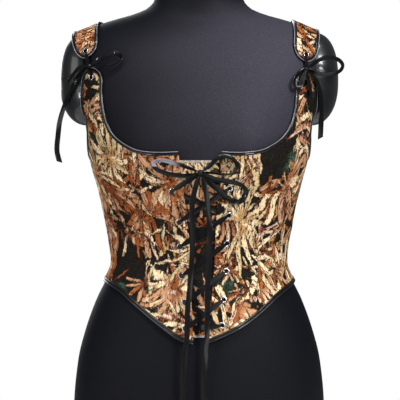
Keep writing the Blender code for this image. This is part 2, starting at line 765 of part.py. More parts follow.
def back_lines(name):
    """The finished edge of the back and its strap, the panels' edge inside the binding, and their places."""
    line = back_edge(name)
    inner = shifted(line, STRAP_BINDING)
    inner[0], inner[-1] = on_turn(SIDE_BACK_START, inner[0]), on_turn(CENTRE_BACK, inner[-1])
    up, down = meetings(inner[:, 2] - STRAP_ROOT_Z)
    numbers = np.arange(len(line))
    front = np.flatnonzero((inner[:, 1] < HUB_Y) & (numbers > up) & (numbers < down))
    tip = front[int(np.argmin(inner[front, 2]))]
    return line, inner, {
        "arm": between(0, up, UPPER_SHARE),
        "outer": between(up, tip - HALF_TIP, STRAP_SHARE),
        "tab": between(tip - HALF_TIP, tip + HALF_TIP, TAB_ACROSS),
        "inner": between(down, tip + HALF_TIP, STRAP_SHARE),
        "neck": between(len(line) - 1, down, UPPER_SHARE),
    }


# The panels.

def coons(west, east, south, north, across):
    """A grid over a four-sided piece, row by row from its lower edge, from its four edges."""
    u = np.asarray(across)[None, :, None]
    v = np.linspace(0, 1, len(west))[:, None, None]
    ruled = (1 - u) * west[:, None] + u * east[:, None] + (1 - v) * south[None] + v * north[None]
    corners = (1 - v) * ((1 - u) * south[0] + u * south[-1]) + v * ((1 - u) * north[0] + u * north[-1])
    return ruled - corners


def panel(name, grid, side, tapestry, rise=0.0):
    """A piece of tapestry over a grid of points on the surface, raised where rise says."""
    inner = settle(grid, cloth_level(grid))
    outer = inner + normals(inner) * (TAPESTRY + np.broadcast_to(rise, grid.shape[:2]))[..., None]
    return wall(name, placed(inner, side), placed(outer, side), tapestry)


def turned_grid(edges, across, trim_west, trim_east):
    """A grid between four lines on the surface, drawn in where a seam needs its gap."""
    west, east, south, north = edges
    grid = coons(turn_of(west), turn_of(east), turn_of(south), turn_of(north), across)
    gap = SEAM / 2 / np.linalg.norm(west[0, :2] - [0, AXIS_Y])
    turn = grid[..., 0] + gap * (trim_west * (1 - across) - trim_east * across)
    return around(turn, grid[..., 1], REST)


def seam_heights(low, high):
    return low[2] + (high[2] - low[2]) * LOWER_SHARE


def centre_front(name, top, hem, tapestry):
    """The front panel beside the opening, from the laced edge to the princess seam."""
    south, north = at(hem[1], hem[2]["front"]), at(top[1], top[2]["front"])
    west_z, east_z = seam_heights(south[0], north[0]), seam_heights(south[-1], north[-1])
    west = from_front(opening_x(name, west_z), west_z, REST)
    east = from_front(princess_x(name, east_z), east_z, REST)
    grid = turned_grid((west, east, south, north), FRONT_ACROSS, 0, 1)
    rise = np.zeros(grid.shape[:2])
    rise[1:-1, BONE_COLUMNS] = BONE_RISE
    return panel("front_" + name, grid, name, tapestry, rise)


def side_front(name, top, hem, tapestry):
    """The side panel, from the princess seam to the side seam, with the front strap."""
    south, north = at(hem[1], hem[2]["side"]), at(top[1], top[2]["tip"])
    neck, arm = at(top[1], top[2]["neck"]), at(top[1], top[2]["arm"])
    west_z, east_z = seam_heights(south[0], neck[0]), seam_heights(south[-1], arm[0])
    west = from_front(princess_x(name, west_z), west_z, REST)
    east = around(np.full(LOWER_ROWS, SIDE_FRONT_END), east_z, REST)
    edges = (np.concatenate([west, neck[1:]]), np.concatenate([east, arm[1:]]), south, north)
    return panel("side_front_" + name, turned_grid(edges, SIDE_ACROSS, 1, 0), name, tapestry)


def back(name, rear, hem, tapestry):
    """Half of the back, from the side seam to the centre back seam, up to the shoulder strap."""
    south = at(hem[1], hem[2]["back"])
    arm, neck = at(rear[1], rear[2]["arm"]), at(rear[1], rear[2]["neck"])
    west_z, east_z = seam_heights(south[0], arm[0]), seam_heights(south[-1], neck[0])
    west = around(np.full(LOWER_ROWS, SIDE_BACK_START), west_z, REST)
    east = around(np.full(LOWER_ROWS, CENTRE_BACK), east_z, REST)
    first, last = turn_of(arm[-1])[0], turn_of(neck[-1])[0]
    north = around(between(first, last, BACK_ACROSS), STRAP_ROOT_Z, REST)
    edges = (np.concatenate([west, arm[1:]]), np.concatenate([east, neck[1:]]), south, north)
    return panel("back_" + name, turned_grid(edges, BACK_ACROSS, 0, 0), name, tapestry)


def hub_angle(p):
    """Points as their angle over the shoulder and their distance from the centre."""
    return np.stack([np.arctan2(HUB_Y - p[..., 1], p[..., 2] - HUB_Z), p[..., 0]], -1)


def shoulder_strap(name, rear, tapestry):
    """The strap from the back over the shoulder, with its rounded tab in front."""
    outer, inner = at(rear[1], rear[2]["outer"]), at(rear[1], rear[2]["inner"])
    north = at(rear[1], rear[2]["tab"])
    first, last = turn_of(outer[0])[0], turn_of(inner[0])[0]
    root = around(between(first, last, TAB_ACROSS), STRAP_ROOT_Z + SEAM, REST)
    outer[0], inner[0] = root[0], root[-1]
    grid = coons(hub_angle(outer), hub_angle(inner), hub_angle(root), hub_angle(north), TAB_ACROSS)
    return panel("shoulder_strap_" + name, over(grid[..., 0], grid[..., 1], REST), name, tapestry)


def modesty_panel(tapestry):
    """The panel behind the opening, which the ribbon crosses."""
    x = np.linspace(*MODESTY_SIDES, 10)[None]
    low = smooth(MODESTY_LOW, 1, x)
    z = low + (MODESTY_TOP - low) * np.linspace(0, 1, 14)[:, None]
    inner = from_front(x, z, MODESTY)
    outer = inner + normals(inner) * MODESTY_THICK
    return wall("modesty_panel", inner, outer, tapestry)


# The bindings.

def binding(name, side, lines, satin):
    """A satin band folded over an edge, on the outside of the panels it finishes."""
    places = np.unique(np.round(np.concatenate(list(lines[2].values())), 6))
    line, inner = at(lines[0], places), at(lines[1], places)
    width = np.linalg.norm(line - inner, axis=1, keepdims=True)
    level = cloth_level(line)
    high = TAPESTRY + BINDING_RISE
    ring = []
    for share, lift in ((SEAM / width, 0), (SEAM / width, high - BINDING_DIP), (0.5, high),
                        (1, high - BINDING_ROLL), (1, 0)):
        ring.append(settle(inner + (line - inner) * share, level + lift))
    return tube(name + "_" + side, placed(np.stack(ring, 1), side), satin)


# The eyelets.

def eyelet_places(name):
    """Each eyelet's name, its distance from the centre and its height."""
    first = 0 if name == "left" else 2
    rows = [("eyelet_%s_%d" % (name, i + 1), row[first + 1], row[first]) for i, row in enumerate(EYELETS)]
    rows.append(("eyelet_tip_" + name, *TIP_EYELET))
    rows.append(("eyelet_tab_" + name, TAB_EYELET[0] + STRAP_SHIFT[name], TAB_EYELET[1] + STRAP_LIFT[name]))
    return rows


def round_frame(x, z):
    """The middle of an eyelet on the tapestry's outer side, the normal and two ways across."""
    on_form = from_front(x, z, REST)
    centre = from_front(x, z, cloth_level(on_form) + TAPESTRY)
    out = normals(centre)
    right = np.cross([0.0, 0.0, 1.0], out)
    right /= np.linalg.norm(right)
    return centre, out, right, np.cross(out, right)


def ring_points(frame, radius, lift, sides):
    centre, out, right, up = frame
    turn = np.linspace(0, 2 * math.pi, sides, endpoint=False)[:, None]
    return centre + out * lift + (right * np.cos(turn) + up * np.sin(turn)) * radius


def eyelet(name, side, x, z, metal):
    frame = round_frame(x, z)
    rings = [ring_points(frame, radius, EYELET_LIFT + lift, EYELET_SIDES) for radius, lift in (
        (EYELET_INNER, 0), ((EYELET_INNER + EYELET_OUTER) / 2, EYELET_THICK), (EYELET_OUTER, 0))]
    points = np.stack(rings, 1)
    return tube(name, placed(points, side), metal, closed=True)


def hole_cutter(name, side, places):
    """Hidden pegs that cut the eyelet holes of one panel."""
    shape = bmesh.new()
    for x, z in places:
        frame = round_frame(x, z)
        ends = [placed(ring_points(frame, HOLE, lift, HOLE_SIDES), side) for lift in (-PEG, PEG)]
        low, high = [[shape.verts.new(p) for p in end] for end in ends]
        for i in range(len(low)):
            k = (i + 1) % len(low)
            shape.faces.new((low[i], low[k], high[k], high[i]))
        shape.faces.new(low[::-1])
        shape.faces.new(high)
    bmesh.ops.recalc_face_normals(shape, faces=shape.faces)
    mesh = bpy.data.meshes.new(name)
    shape.to_mesh(mesh)
    shape.free()
    made = bpy.data.objects.new(name, mesh)
    bpy.context.scene.collection.objects.link(made)
    return made


# The ribbons.

def strip(name, line, across, widths, satin):
    """A flat ribbon along a line, its width along the direction across."""
    along = np.gradient(line, axis=0)
    along /= np.linalg.norm(along, axis=1, keepdims=True)
    across = across - along * np.sum(across * along, axis=1, keepdims=True)
    across /= np.linalg.norm(across, axis=1, keepdims=True)
    out = np.cross(along, across)
    half = across * widths[:, None] / 2
    thick = out * RIBBON_THICK / 2
    rings = np.stack([line - half - thick, line + half - thick, line + half + thick, line - half + thick], 1)
    return tube(name, rings, satin)


def flat_on(line, across):
    """Directions laid flat on the surface under a line."""
    out = normals(line)
    return across - out * np.sum(across * out, axis=1, keepdims=True)


OVER, UNDER, IN_HOLE = 0.0081, 0.0031, 0.0052
HOLE_WIDTH = 0.0026
HOP = (0.0006, 0.0012, 0.0018, 0.0034, 0.0100)


def hop(a, b, level_a, level_b, hole_a=True, hole_b=True, turn_over=(0.32, 0.68)):
    """Rows of x, z, level, width and lean for the ribbon from one place to the next."""
    a, b = np.array(a), np.array(b)
    length = float(np.linalg.norm(b - a))
    middle = np.linspace(HOP[-1], length - HOP[-1], 6)[1:-1]
    rows = []
    for d in (0.0, *HOP, *middle, *[length - d for d in reversed(HOP)], length):
        share = d / length
        x, z = a + (b - a) * share
        level = level_a + (level_b - level_a) * (1 - fade(share, *turn_over))
        width = RIBBON
        for near, there in ((d, hole_a), (length - d, hole_b)):
            if there:
                level = level + (IN_HOLE - level) * fade(near, 0.0002, 0.0018)
                width = min(width, HOLE_WIDTH + (RIBBON - HOLE_WIDTH) * (1 - fade(near, 0.001, 0.009)))
        tilt = (b - a) / length
        rows.append((x, z, level, width, *((-tilt[1], tilt[0]) if tilt[0] > 0 else (tilt[1], -tilt[0]))))
    return rows


def lace_rows():
    """The ribbon from the knot down through the eyelets on one side and back up on the other."""
    left = [(-row[1], row[0]) for row in EYELETS]
    right = [(row[3], row[2]) for row in EYELETS]
    last = len(EYELETS) - 1
    down = [(left, right)[i % 2][i] for i in range(last + 1)]
    back_up = [(right, left)[i % 2][i] for i in range(last + 1)][::-1]
    places = down + back_up
    middle = np.array(KNOT_PLACE[:2])
    beside = math.sqrt((KNOT + KNOT_GAP) ** 2 - (KNOT_PLACE[2] - OVER) ** 2)
    start, end = [middle + (place - middle) / np.linalg.norm(place - middle) * beside
                  for place in np.array([places[0], places[-1]])]
    rows = hop(start, places[0], OVER, OVER, hole_a=False)
    for i, (a, b) in enumerate(zip(places, places[1:])):
        inside = (i % 2 == 0) == (i < last)
        levels = (OVER, UNDER) if i == last else (UNDER, UNDER) if inside else (OVER, OVER)
        rows += hop(a, b, *levels)[1:]
    rows += hop(places[-1], end, UNDER, OVER, hole_b=False, turn_over=(0.45, 0.95))[1:]
    return np.array(rows)


def build_lace(satin):
    rows = lace_rows()
    line = from_front(rows[:, 0], rows[:, 1], rows[:, 2])
    across = flat_on(line, np.column_stack([rows[:, 4], np.zeros(len(rows)), rows[:, 5]]))
    return strip("lace", line, across, rows[:, 3], satin)


def ribbon(name, rows, count, side, tied, loop, satin):
    """A ribbon from a knot along its rows, back into the knot where it is a loop."""
    centre, radius = tied
    rows = np.array(rows)
    free = rows[:, 2] < 0
    on_cloth = from_front(np.where(free, 0, rows[:, 0]), rows[:, 1], np.abs(rows[:, 2]))
    points = np.where(free[:, None], rows[:, [0, 2, 1]], on_cloth)
    for end in (0, -1) if loop else (0,):
        away = points[end] - centre
        points[end] = centre + away / np.linalg.norm(away) * (radius + KNOT_GAP)
    small = 1e-5                          # keeps the other columns out of the spacing
    line = curve(np.column_stack([points, rows[:, 3] * small, free * small]), count)
    lean, freed = np.radians(line[:, 3] / small), line[:, 4:] / small
    line = line[:, :3]
    along = np.gradient(line, axis=0)
    along /= np.linalg.norm(along, axis=1, keepdims=True)
    toward = normals(line) * (1 - freed) + np.array([0.0, -1.0, 0.0]) * freed
    toward /= np.linalg.norm(toward, axis=1, keepdims=True)
    beside = np.cross(along, toward)
    beside /= np.linalg.norm(beside, axis=1, keepdims=True)
    across = toward * np.cos(lean)[:, None] + beside * np.sin(lean)[:, None]
    gone = np.concatenate([[0], np.cumsum(np.linalg.norm(np.diff(line, axis=0), axis=1))])
    widths = PINCH + (RIBBON - PINCH) * (1 - fade(gone, 0, PINCH_LENGTH))
    if loop:
        widths = np.minimum(widths, PINCH + (RIBBON - PINCH) * (1 - fade(gone[-1] - gone, 0, PINCH_LENGTH)))
    turned = np.array([side, 1, 1])
    return strip(name, line * turned, across * turned, widths, satin)


def knot(name, centre, side, radius, satin):
    """The ribbon's knot, as a rounded bead."""
    shape = bmesh.new()
    bmesh.ops.create_icosphere(shape, subdivisions=2, radius=radius)
    bmesh.ops.translate(shape, vec=centre * np.array([side, 1, 1]), verts=shape.verts)
    points = [v.co[:] for v in shape.verts]
    faces = [[v.index for v in f.verts] for f in shape.faces]
    shape.free()
    return solid(name, points, faces, satin)


def tie_link(name, satin):
    """The ribbon that joins the tab to the front strap, through their two eyelets."""
    tab = np.array(TAB_EYELET) + [STRAP_SHIFT[name], STRAP_LIFT[name]]
    tip = np.array(TIP_EYELET)
    length = float(np.linalg.norm(tip - tab))
    gone = np.array([0.0, 0.0006, 0.0012, 0.0018, 0.0034, *np.linspace(0.006, length - 0.006, 7),
                     length - 0.0034, length - 0.0018, length - 0.0012, length - 0.0006, length])
    near = np.minimum(gone, length - gone)
    in_hole, over_strap = REST + 0.0012, REST + TAPESTRY + EYELET_LIFT + EYELET_THICK + 0.0010
    level = over_strap + (in_hole - over_strap) * fade(near, 0.0002, 0.0013)
    width = HOLE_WIDTH + (0.75 * RIBBON - HOLE_WIDTH) * (1 - fade(near, 0.001, 0.009))
    place = tab + (tip - tab) * (gone / length)[:, None]
    line = from_front(place[:, 0], place[:, 1], level)
    across = flat_on(line, np.broadcast_to([1.0, 0.0, 0.0], line.shape))
    return strip("tie_link_" + name, placed(line, name), placed(across, name), width, satin)


def main():
    for made in list(bpy.data.objects):
        bpy.data.objects.remove(made, do_unlink=True)
    tapestry = material("tapestry", TAPESTRY_COLOUR, 0.85)
    satin = material("black_satin", SATIN_COLOUR, 0.35)
    metal = material("eyelet_metal", METAL_COLOUR, 0.30, 1.0)
    jersey = material("form_jersey", JERSEY_COLOUR, 0.80)
    gloss = material("cap_gloss", GLOSS_COLOUR, 0.15)

    build_form(jersey)
    torso = tube("torso_cutter", torso_rings(FORM_HEIGHTS, SEAM), jersey)
    for name, side in SIDE.items():
        build_cap(side, "shoulder_cap_" + name, gloss, torso)

    modesty_panel(tapestry)
    for name, side in SIDE.items():
        top, rear, hem = top_lines(name), back_lines(name), hem_lines(name)
        front = centre_front(name, top, hem, tapestry)
        side_piece = side_front(name, top, hem, tapestry)
        back(name, rear, hem, tapestry)
        strap = shoulder_strap(name, rear, tapestry)
        for label, lines in (("binding_top", top), ("binding_back", rear), ("binding_hem", hem)):
            binding(label, name, lines, satin)
        places = eyelet_places(name)
        for piece, rows in ((front, places[:-2]), (side_piece, places[-2:-1]), (strap, places[-1:])):
            cut(piece, hole_cutter("holes_" + piece.name, name, [(x, z) for _, x, z in rows]))
        for label, x, z in places:
            eyelet(label, name, x, z, metal)
        tie_link(name, satin)
        knot("tie_knot_" + name, from_front(*TIE_KNOTS[name]), side, TIE_KNOT, satin)

    build_lace(satin)
    bow = from_front(*KNOT_PLACE)
    knot("bow_knot", bow, 1, KNOT, satin)
    for label, rows in BOW_LOOPS.items():
        ribbon(label, rows, BOW_LOOP_POINTS, 1, (bow, KNOT), True, satin)
    for label, rows in BOW_TAILS.items():
        ribbon(label, rows, BOW_TAIL_POINTS, 1, (bow, KNOT), False, satin)
    for label, (name, rows) in TIE_LOOPS.items():
        tied = (from_front(*TIE_KNOTS[name]), TIE_KNOT)
        ribbon(label, rows, TIE_LOOP_POINTS, SIDE[name], tied, True, satin)
    for label, (name, rows) in TIE_TAILS.items():
        tied = (from_front(*TIE_KNOTS[name]), TIE_KNOT)
        ribbon(label, rows, TIE_TAIL_POINTS, SIDE[name], tied, False, satin)


main()
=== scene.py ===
"""The looks of a corset vest of floral tapestry on a limbless dress form.

Metres, +Z up, the front facing -Y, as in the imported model. Each section makes one piece or one group of like
pieces, from the inside out: the form, its caps, the tapestry, the bindings, the eyelets and the ribbons.
"""

import math

import bmesh
import bpy
import numpy as np
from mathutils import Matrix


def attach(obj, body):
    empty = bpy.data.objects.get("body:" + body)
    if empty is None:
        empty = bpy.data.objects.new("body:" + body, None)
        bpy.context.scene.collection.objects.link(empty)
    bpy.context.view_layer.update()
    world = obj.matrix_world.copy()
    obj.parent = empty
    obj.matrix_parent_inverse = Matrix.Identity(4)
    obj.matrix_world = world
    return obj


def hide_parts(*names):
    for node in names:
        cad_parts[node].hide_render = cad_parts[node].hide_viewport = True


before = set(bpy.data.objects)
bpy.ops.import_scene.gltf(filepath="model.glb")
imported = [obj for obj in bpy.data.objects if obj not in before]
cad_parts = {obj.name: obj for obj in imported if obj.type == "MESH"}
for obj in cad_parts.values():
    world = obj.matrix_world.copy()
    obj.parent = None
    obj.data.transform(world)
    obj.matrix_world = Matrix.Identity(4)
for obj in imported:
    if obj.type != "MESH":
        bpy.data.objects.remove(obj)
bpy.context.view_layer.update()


# The view. The camera stands straight in front of the corset and frames it as the photograph does: 533 mm
# from side to side, from a little above the hem of the form to the neck.
VIEW_WIDTH = 0.5333
VIEW_MIDDLE = (0.0013, 0.3200)
VIEW_DISTANCE = 4.60
VIEW_PLANE_Y = -0.05
VIEW_END = 30
SENSOR_WIDTH = 36        # mm

bpy.ops.object.camera_add(location=(VIEW_MIDDLE[0], -VIEW_DISTANCE, VIEW_MIDDLE[1]),
                          rotation=(math.pi / 2, 0, 0))
camera = bpy.context.object
camera.name = "view_camera"
camera.data.sensor_width = SENSOR_WIDTH
camera.data.lens = SENSOR_WIDTH * (VIEW_DISTANCE + VIEW_PLANE_Y) / VIEW_WIDTH
camera.data.clip_end = VIEW_END
bpy.context.scene.camera = camera

# The studio. A white surround, a pale disc for a floor and five soft lights: one high on the right, a large
# weak one on the left, a long one overhead, a small one low on the left, and one behind.
FILL_COLOUR = (0.92, 0.95, 1.0, 1.0)
FILL_STRENGTH = 0.13     # of the surround as a light; the camera sees it as plain white
FLOOR_RADIUS, FLOOR_THICK, FLOOR_Z = 0.58, 0.012, -0.0065

surround = bpy.data.worlds.new("white_surround")
surround.use_nodes = True
bpy.context.scene.world = surround
wide, joins = surround.node_tree.nodes, surround.node_tree.links
lit = wide["Background"]
lit.inputs["Color"].default_value = FILL_COLOUR
lit.inputs["Strength"].default_value = FILL_STRENGTH
seen = wide.new("ShaderNodeBackground")
seen.inputs["Color"].default_value = (1.0, 1.0, 1.0, 1.0)
seen.inputs["Strength"].default_value = 1.0
path = wide.new("ShaderNodeLightPath")
either = wide.new("ShaderNodeMixShader")
for number, output in enumerate((path.outputs["Is Camera Ray"], lit.outputs[0], seen.outputs[0])):
    joins.new(output, either.inputs[number])
joins.new(either.outputs[0], wide["World Output"].inputs["Surface"])

SOFT_LIGHTS = {           # place, what it points at, width, height, watts
    "light_right": ((1.15, -1.65, 1.25), (0.02, -0.05, 0.42), 0.55, 0.80, 48),
    "light_left": ((-1.90, -1.70, 0.80), (0.0, -0.05, 0.35), 1.50, 1.80, 24),
    "light_over": ((0.10, -0.70, 1.75), (0.0, -0.08, 0.38), 1.40, 0.22, 22),
    "light_low": ((-1.25, -1.60, -0.30), (-0.15, 0.0, 0.46), 0.18, 0.36, 8.0),
    "light_back": ((-0.80, 2.20, 1.20), (0.0, 0.05, 0.38), 1.40, 1.60, 30),
}
for name, (place, aim, across, tall, watts) in SOFT_LIGHTS.items():
    bpy.ops.object.light_add(type="AREA", location=place)
    light = bpy.context.object
    light.name = name
    light.data.shape = "RECTANGLE"
    light.data.size, light.data.size_y = across, tall
    light.data.energy = watts
    toward = np.array(place) - np.array(aim)
    toward /= np.linalg.norm(toward)
    light.rotation_euler = (math.acos(toward[2]), 0, math.atan2(toward[1], toward[0]) + math.pi / 2)

bpy.ops.object.select_all(action="DESELECT")
bpy.ops.mesh.primitive_cylinder_add(vertices=96, radius=FLOOR_RADIUS, depth=FLOOR_THICK,
                                    location=(0, 0, FLOOR_Z))
floor = bpy.context.object
floor.name = "floor_disc"
bpy.ops.object.transform_apply(location=True)
floor_paint = bpy.data.materials.new("floor_white")
floor_paint.use_nodes = True
floor_finish = floor_paint.node_tree.nodes["Principled BSDF"].inputs
floor_finish["Base Color"].default_value = (0.86, 0.86, 0.86, 1)
floor_finish["Roughness"].default_value = 0.9
floor.data.materials.append(floor_paint)
bpy.context.scene.view_settings.view_transform = "Standard"


# The dress form. A foam half form under tight black jersey, whose knit shows as a fine grain. Its neck is
# closed with a flat top and it stands on its flat cut end.
FORM_COLUMNS = ("height", "half_width", "front", "back", "centre_y", "squareness")
FORM = (
    (0.0000, 0.1700, 0.105, 0.112, 0.000, 2.10),
    (0.0550, 0.1680, 0.105, 0.116, 0.000, 2.10),
    (0.1070, 0.1625, 0.102, 0.112, 0.000, 2.10),
    (0.1470, 0.1525, 0.098, 0.102, 0.000, 2.05),
    (0.1870, 0.1380, 0.091, 0.089, 0.000, 2.00),
    (0.2130, 0.1255, 0.0858, 0.0820, 0.000, 2.00),
    (0.2370, 0.1165, 0.0832, 0.0785, 0.000, 2.00),
    (0.2670, 0.1195, 0.0856, 0.0800, 0.000, 2.00),
    (0.2930, 0.1245, 0.090, 0.084, 0.000, 2.05),
    (0.3200, 0.1300, 0.097, 0.090, 0.000, 2.10),
    (0.3470, 0.1370, 0.106, 0.095, 0.000, 2.15),
    (0.3730, 0.1440, 0.112, 0.099, 0.000, 2.20),
    (0.4000, 0.1500, 0.113, 0.102, 0.000, 2.25),
    (0.4300, 0.1530, 0.110, 0.104, 0.000, 2.30),
    (0.4600, 0.1580, 0.103, 0.103, 0.002, 2.45),
    (0.4900, 0.1630, 0.094, 0.098, 0.004, 2.60),
    (0.5150, 0.1650, 0.083, 0.091, 0.006, 2.60),
    (0.5350, 0.1620, 0.071, 0.083, 0.009, 2.60),
    (0.5470, 0.1530, 0.062, 0.076, 0.011, 2.50),
    (0.5555, 0.1380, 0.056, 0.071, 0.013, 2.40),
    (0.5630, 0.1160, 0.052, 0.066, 0.015, 2.25),
    (0.5710, 0.0880, 0.050, 0.061, 0.016, 2.10),
    (0.5790, 0.0700, 0.050, 0.057, 0.017, 2.00),
    (0.5900, 0.0605, 0.050, 0.053, 0.018, 2.00),
    (0.6200, 0.0550, 0.050, 0.049, 0.018, 2.00),
    (0.6640, 0.0530, 0.050, 0.047, 0.018, 2.00),
)
BUST_X, BUST_Z = 0.074, 0.385
BUST_DEPTH, BUST_SPREAD_X, BUST_SPREAD_Z = 0.010, 0.034, 0.048
FORM_SIDES, FORM_RINGS = 144, 150
NECK_ROUND = (0.657, 0.007, 0.10)    # where the neck's edge starts to round, its height, how far it draws in


def smooth(table, column, at):
    """A column of a table at some values of its first column, on a curve without overshoot."""
    rows = np.array(table)
    xs, ys = rows[:, 0], rows[:, column]
    step = np.diff(xs)
    slope = np.diff(ys) / step
    tangent = np.zeros_like(ys)
    product = slope[:-1] * slope[1:]
    same = product > 0
    tangent[1:-1][same] = 2 * product[same] / (slope[:-1] + slope[1:])[same]
    tangent[0], tangent[-1] = slope[0], slope[-1]
    at = np.clip(at, xs[0], xs[-1])
    i = np.clip(np.searchsorted(xs, at) - 1, 0, len(step) - 1)
    h, t = step[i], (at - xs[i]) / step[i]
    low = (1 + 2 * t) * (1 - t) ** 2 * ys[i] + t * (1 - t) ** 2 * h * tangent[i]
    return low + t * t * (3 - 2 * t) * ys[i + 1] - t * t * (1 - t) * h * tangent[i + 1]


def fade(value, start, end):
    """1 up to start, 0 from end on, smooth between."""
    t = np.clip((value - start) / (end - start), 0, 1)
    return 1 - t * t * (3 - 2 * t)


def section(z):
    """The form's half width, front depth, back depth, centre and squareness at a height."""
    return [smooth(FORM, column, z) for column in range(1, len(FORM_COLUMNS))]


def bust(x, z):
    """How much the front stands out over the two soft rises of the bust."""
    across = np.exp(-((np.abs(x) - BUST_X) / BUST_SPREAD_X) ** 2)
    return BUST_DEPTH * across * np.exp(-((z - BUST_Z) / BUST_SPREAD_Z) ** 2)


def form_rings(heights, spread):
    """Level sections of the form, spread outward."""
    rings = []
    for z in heights:
        half, front, back, centre, square = section(np.array([z]))
        turn = np.linspace(0, 2 * math.pi, FORM_SIDES, endpoint=False)
        side, ahead = np.sin(turn), -np.cos(turn)
        x = np.sign(side) * np.abs(side) ** (2 / square) * half
        depth = np.where(ahead < 0, front + bust(x, z), back)
        y = np.sign(ahead) * np.abs(ahead) ** (2 / square) * depth
        away = np.stack([x, y], -1)
        away *= 1 + spread / np.linalg.norm(away, axis=1, keepdims=True)
        rings.append(np.column_stack([away[:, 0], away[:, 1] + centre, np.full(FORM_SIDES, z)]))
    return np.array(rings)


class Part:
    """A number, vector or colour in a material, which sums with others into nodes."""

    def __init__(self, paint, socket):
        self.paint = paint
        self.socket = socket


def adding(operation, swapped):
    """A method of Part that adds the node of one operation."""
    if swapped:
        return lambda part, other: part.paint.sum(operation, other, part)
    return lambda part, other: part.paint.sum(operation, part, other)


for sign, operation in (("add", "ADD"), ("sub", "SUBTRACT"), ("mul", "MULTIPLY"), ("truediv", "DIVIDE"),
                        ("pow", "POWER")):
    setattr(Part, "__%s__" % sign, adding(operation, False))
    setattr(Part, "__r%s__" % sign, adding(operation, True))


class Paint:
    """One material and the nodes that its expressions add."""

    def __init__(self, name, colour, roughness, **constants):
        self.material = bpy.data.materials.new(name)
        self.material.use_nodes = True
        self.material.diffuse_color = (*colour, 1.0)
        self.nodes = self.material.node_tree.nodes
        self.links = self.material.node_tree.links
        self.shader = self.nodes["Principled BSDF"]
        self.shader.inputs["Base Color"].default_value = (*colour, 1.0)
        self.shader.inputs["Roughness"].default_value = roughness
        for key, value in constants.items():
            self.shader.inputs[key.replace("_", " ")].default_value = value

    def put(self, value, socket):
        if isinstance(value, Part):
            self.links.new(value.socket, socket)
        elif isinstance(value, tuple) and socket.type == "RGBA" and len(value) == 3:
            socket.default_value = (*value, 1.0)
        else:
            socket.default_value = value

    def node(self, kind, settings, values, output=0):
        made = self.nodes.new(kind)
        for key, value in settings.items():
            setattr(made, key, value)
        for key, value in values.items():
            self.put(value, made.inputs[key])
        if isinstance(output, (tuple, list)):
            return [Part(self, made.outputs[key]) for key in output]
        return Part(self, made.outputs[output])

    def sum(self, operation, *values):
        return self.node("ShaderNodeMath", {"operation": operation}, dict(enumerate(values)))

    def vector(self, operation, *values):
        return self.node("ShaderNodeVectorMath", {"operation": operation}, dict(enumerate(values)))

    def step(self, value, start, end):
        """0 up to start, 1 from end on, smooth between."""
        return self.node("ShaderNodeMapRange", {"interpolation_type": "SMOOTHSTEP"},
                         {"Value": value, "From Min": start, "From Max": end})

    def mix(self, share, first, second):
        return self.node("ShaderNodeMix", {"data_type": "RGBA"}, {0: share, 6: first, 7: second}, 2)

    def apart(self, place):
        """The x, y and z of a place."""
        return self.node("ShaderNodeSeparateXYZ", {}, {0: place}, ("X", "Y", "Z"))

    def joined(self, x, y, z=0.0):
        return self.node("ShaderNodeCombineXYZ", {}, {"X": x, "Y": y, "Z": z})

    def noise(self, place, scale, detail=2.0, roughness=0.5, output="Fac", dimensions="3D"):
        return self.node("ShaderNodeTexNoise", {"noise_dimensions": dimensions},
                         {"Vector": place, "Scale": scale, "Detail": detail, "Roughness": roughness}, output)

    def bump(self, height, distance, strength=1.0):
        self.put(self.node("ShaderNodeBump", {}, {"Height": height, "Distance": distance,
                                                  "Strength": strength}), self.shader.inputs["Normal"])

    def colour(self, value):
        self.put(value, self.shader.inputs["Base Color"])

    def rough(self, value):
        self.put(value, self.shader.inputs["Roughness"])


def own_place(paint):
    """A place in the piece's own metres."""
    return paint.node("ShaderNodeTexCoord", {}, {}, "Object")


def cloth_place(paint):
    """A place on the flat cloth, in metres."""
    return paint.node("ShaderNodeUVMap", {"uv_map": "cloth"}, {})


def body_of_points(name, points, faces, finish, flat=None, sharp=40):
    """A closed mesh from points and faces, with its places on the flat cloth where they are given."""
    mesh = bpy.data.meshes.new(name)
    mesh.from_pydata([tuple(map(float, p)) for p in points], [], faces)
    shape = bmesh.new()
    shape.from_mesh(mesh)
    bmesh.ops.recalc_face_normals(shape, faces=shape.faces)
    if shape.calc_volume(signed=True) < 0:
        bmesh.ops.reverse_faces(shape, faces=shape.faces)
    shape.to_mesh(mesh)
    shape.free()
    if flat is not None:
        layer = mesh.uv_layers.new(name="cloth")
        corner = np.zeros(len(mesh.loops), np.int32)
        mesh.loops.foreach_get("vertex_index", corner)
        layer.data.foreach_set("uv", np.asarray(flat, np.float32)[corner].ravel())
    mesh.shade_smooth()
    mesh.set_sharp_from_angle(angle=math.radians(sharp))
    mesh.materials.append(finish)
    made = bpy.data.objects.new(name, mesh)
    bpy.context.scene.collection.objects.link(made)
    return made


def hose_of_rings(name, rings, finish, flat=None, sharp=40):
    """A closed body through rings that have the same number of points."""
    count, sides = rings.shape[:2]
    faces = []
    for i in range(count - 1):
        for j in range(sides):
            a, b = i * sides + j, i * sides + (j + 1) % sides
            faces.append((a, b, b + sides, a + sides))
    faces += [tuple(range(sides))[::-1], tuple(range((count - 1) * sides, count * sides))]
    return body_of_points(name, rings.reshape(-1, 3), faces, finish, flat, sharp)


def dress(piece, node):
    """The piece takes a node's place on the part."""
    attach(piece, "root")
    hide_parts(node)


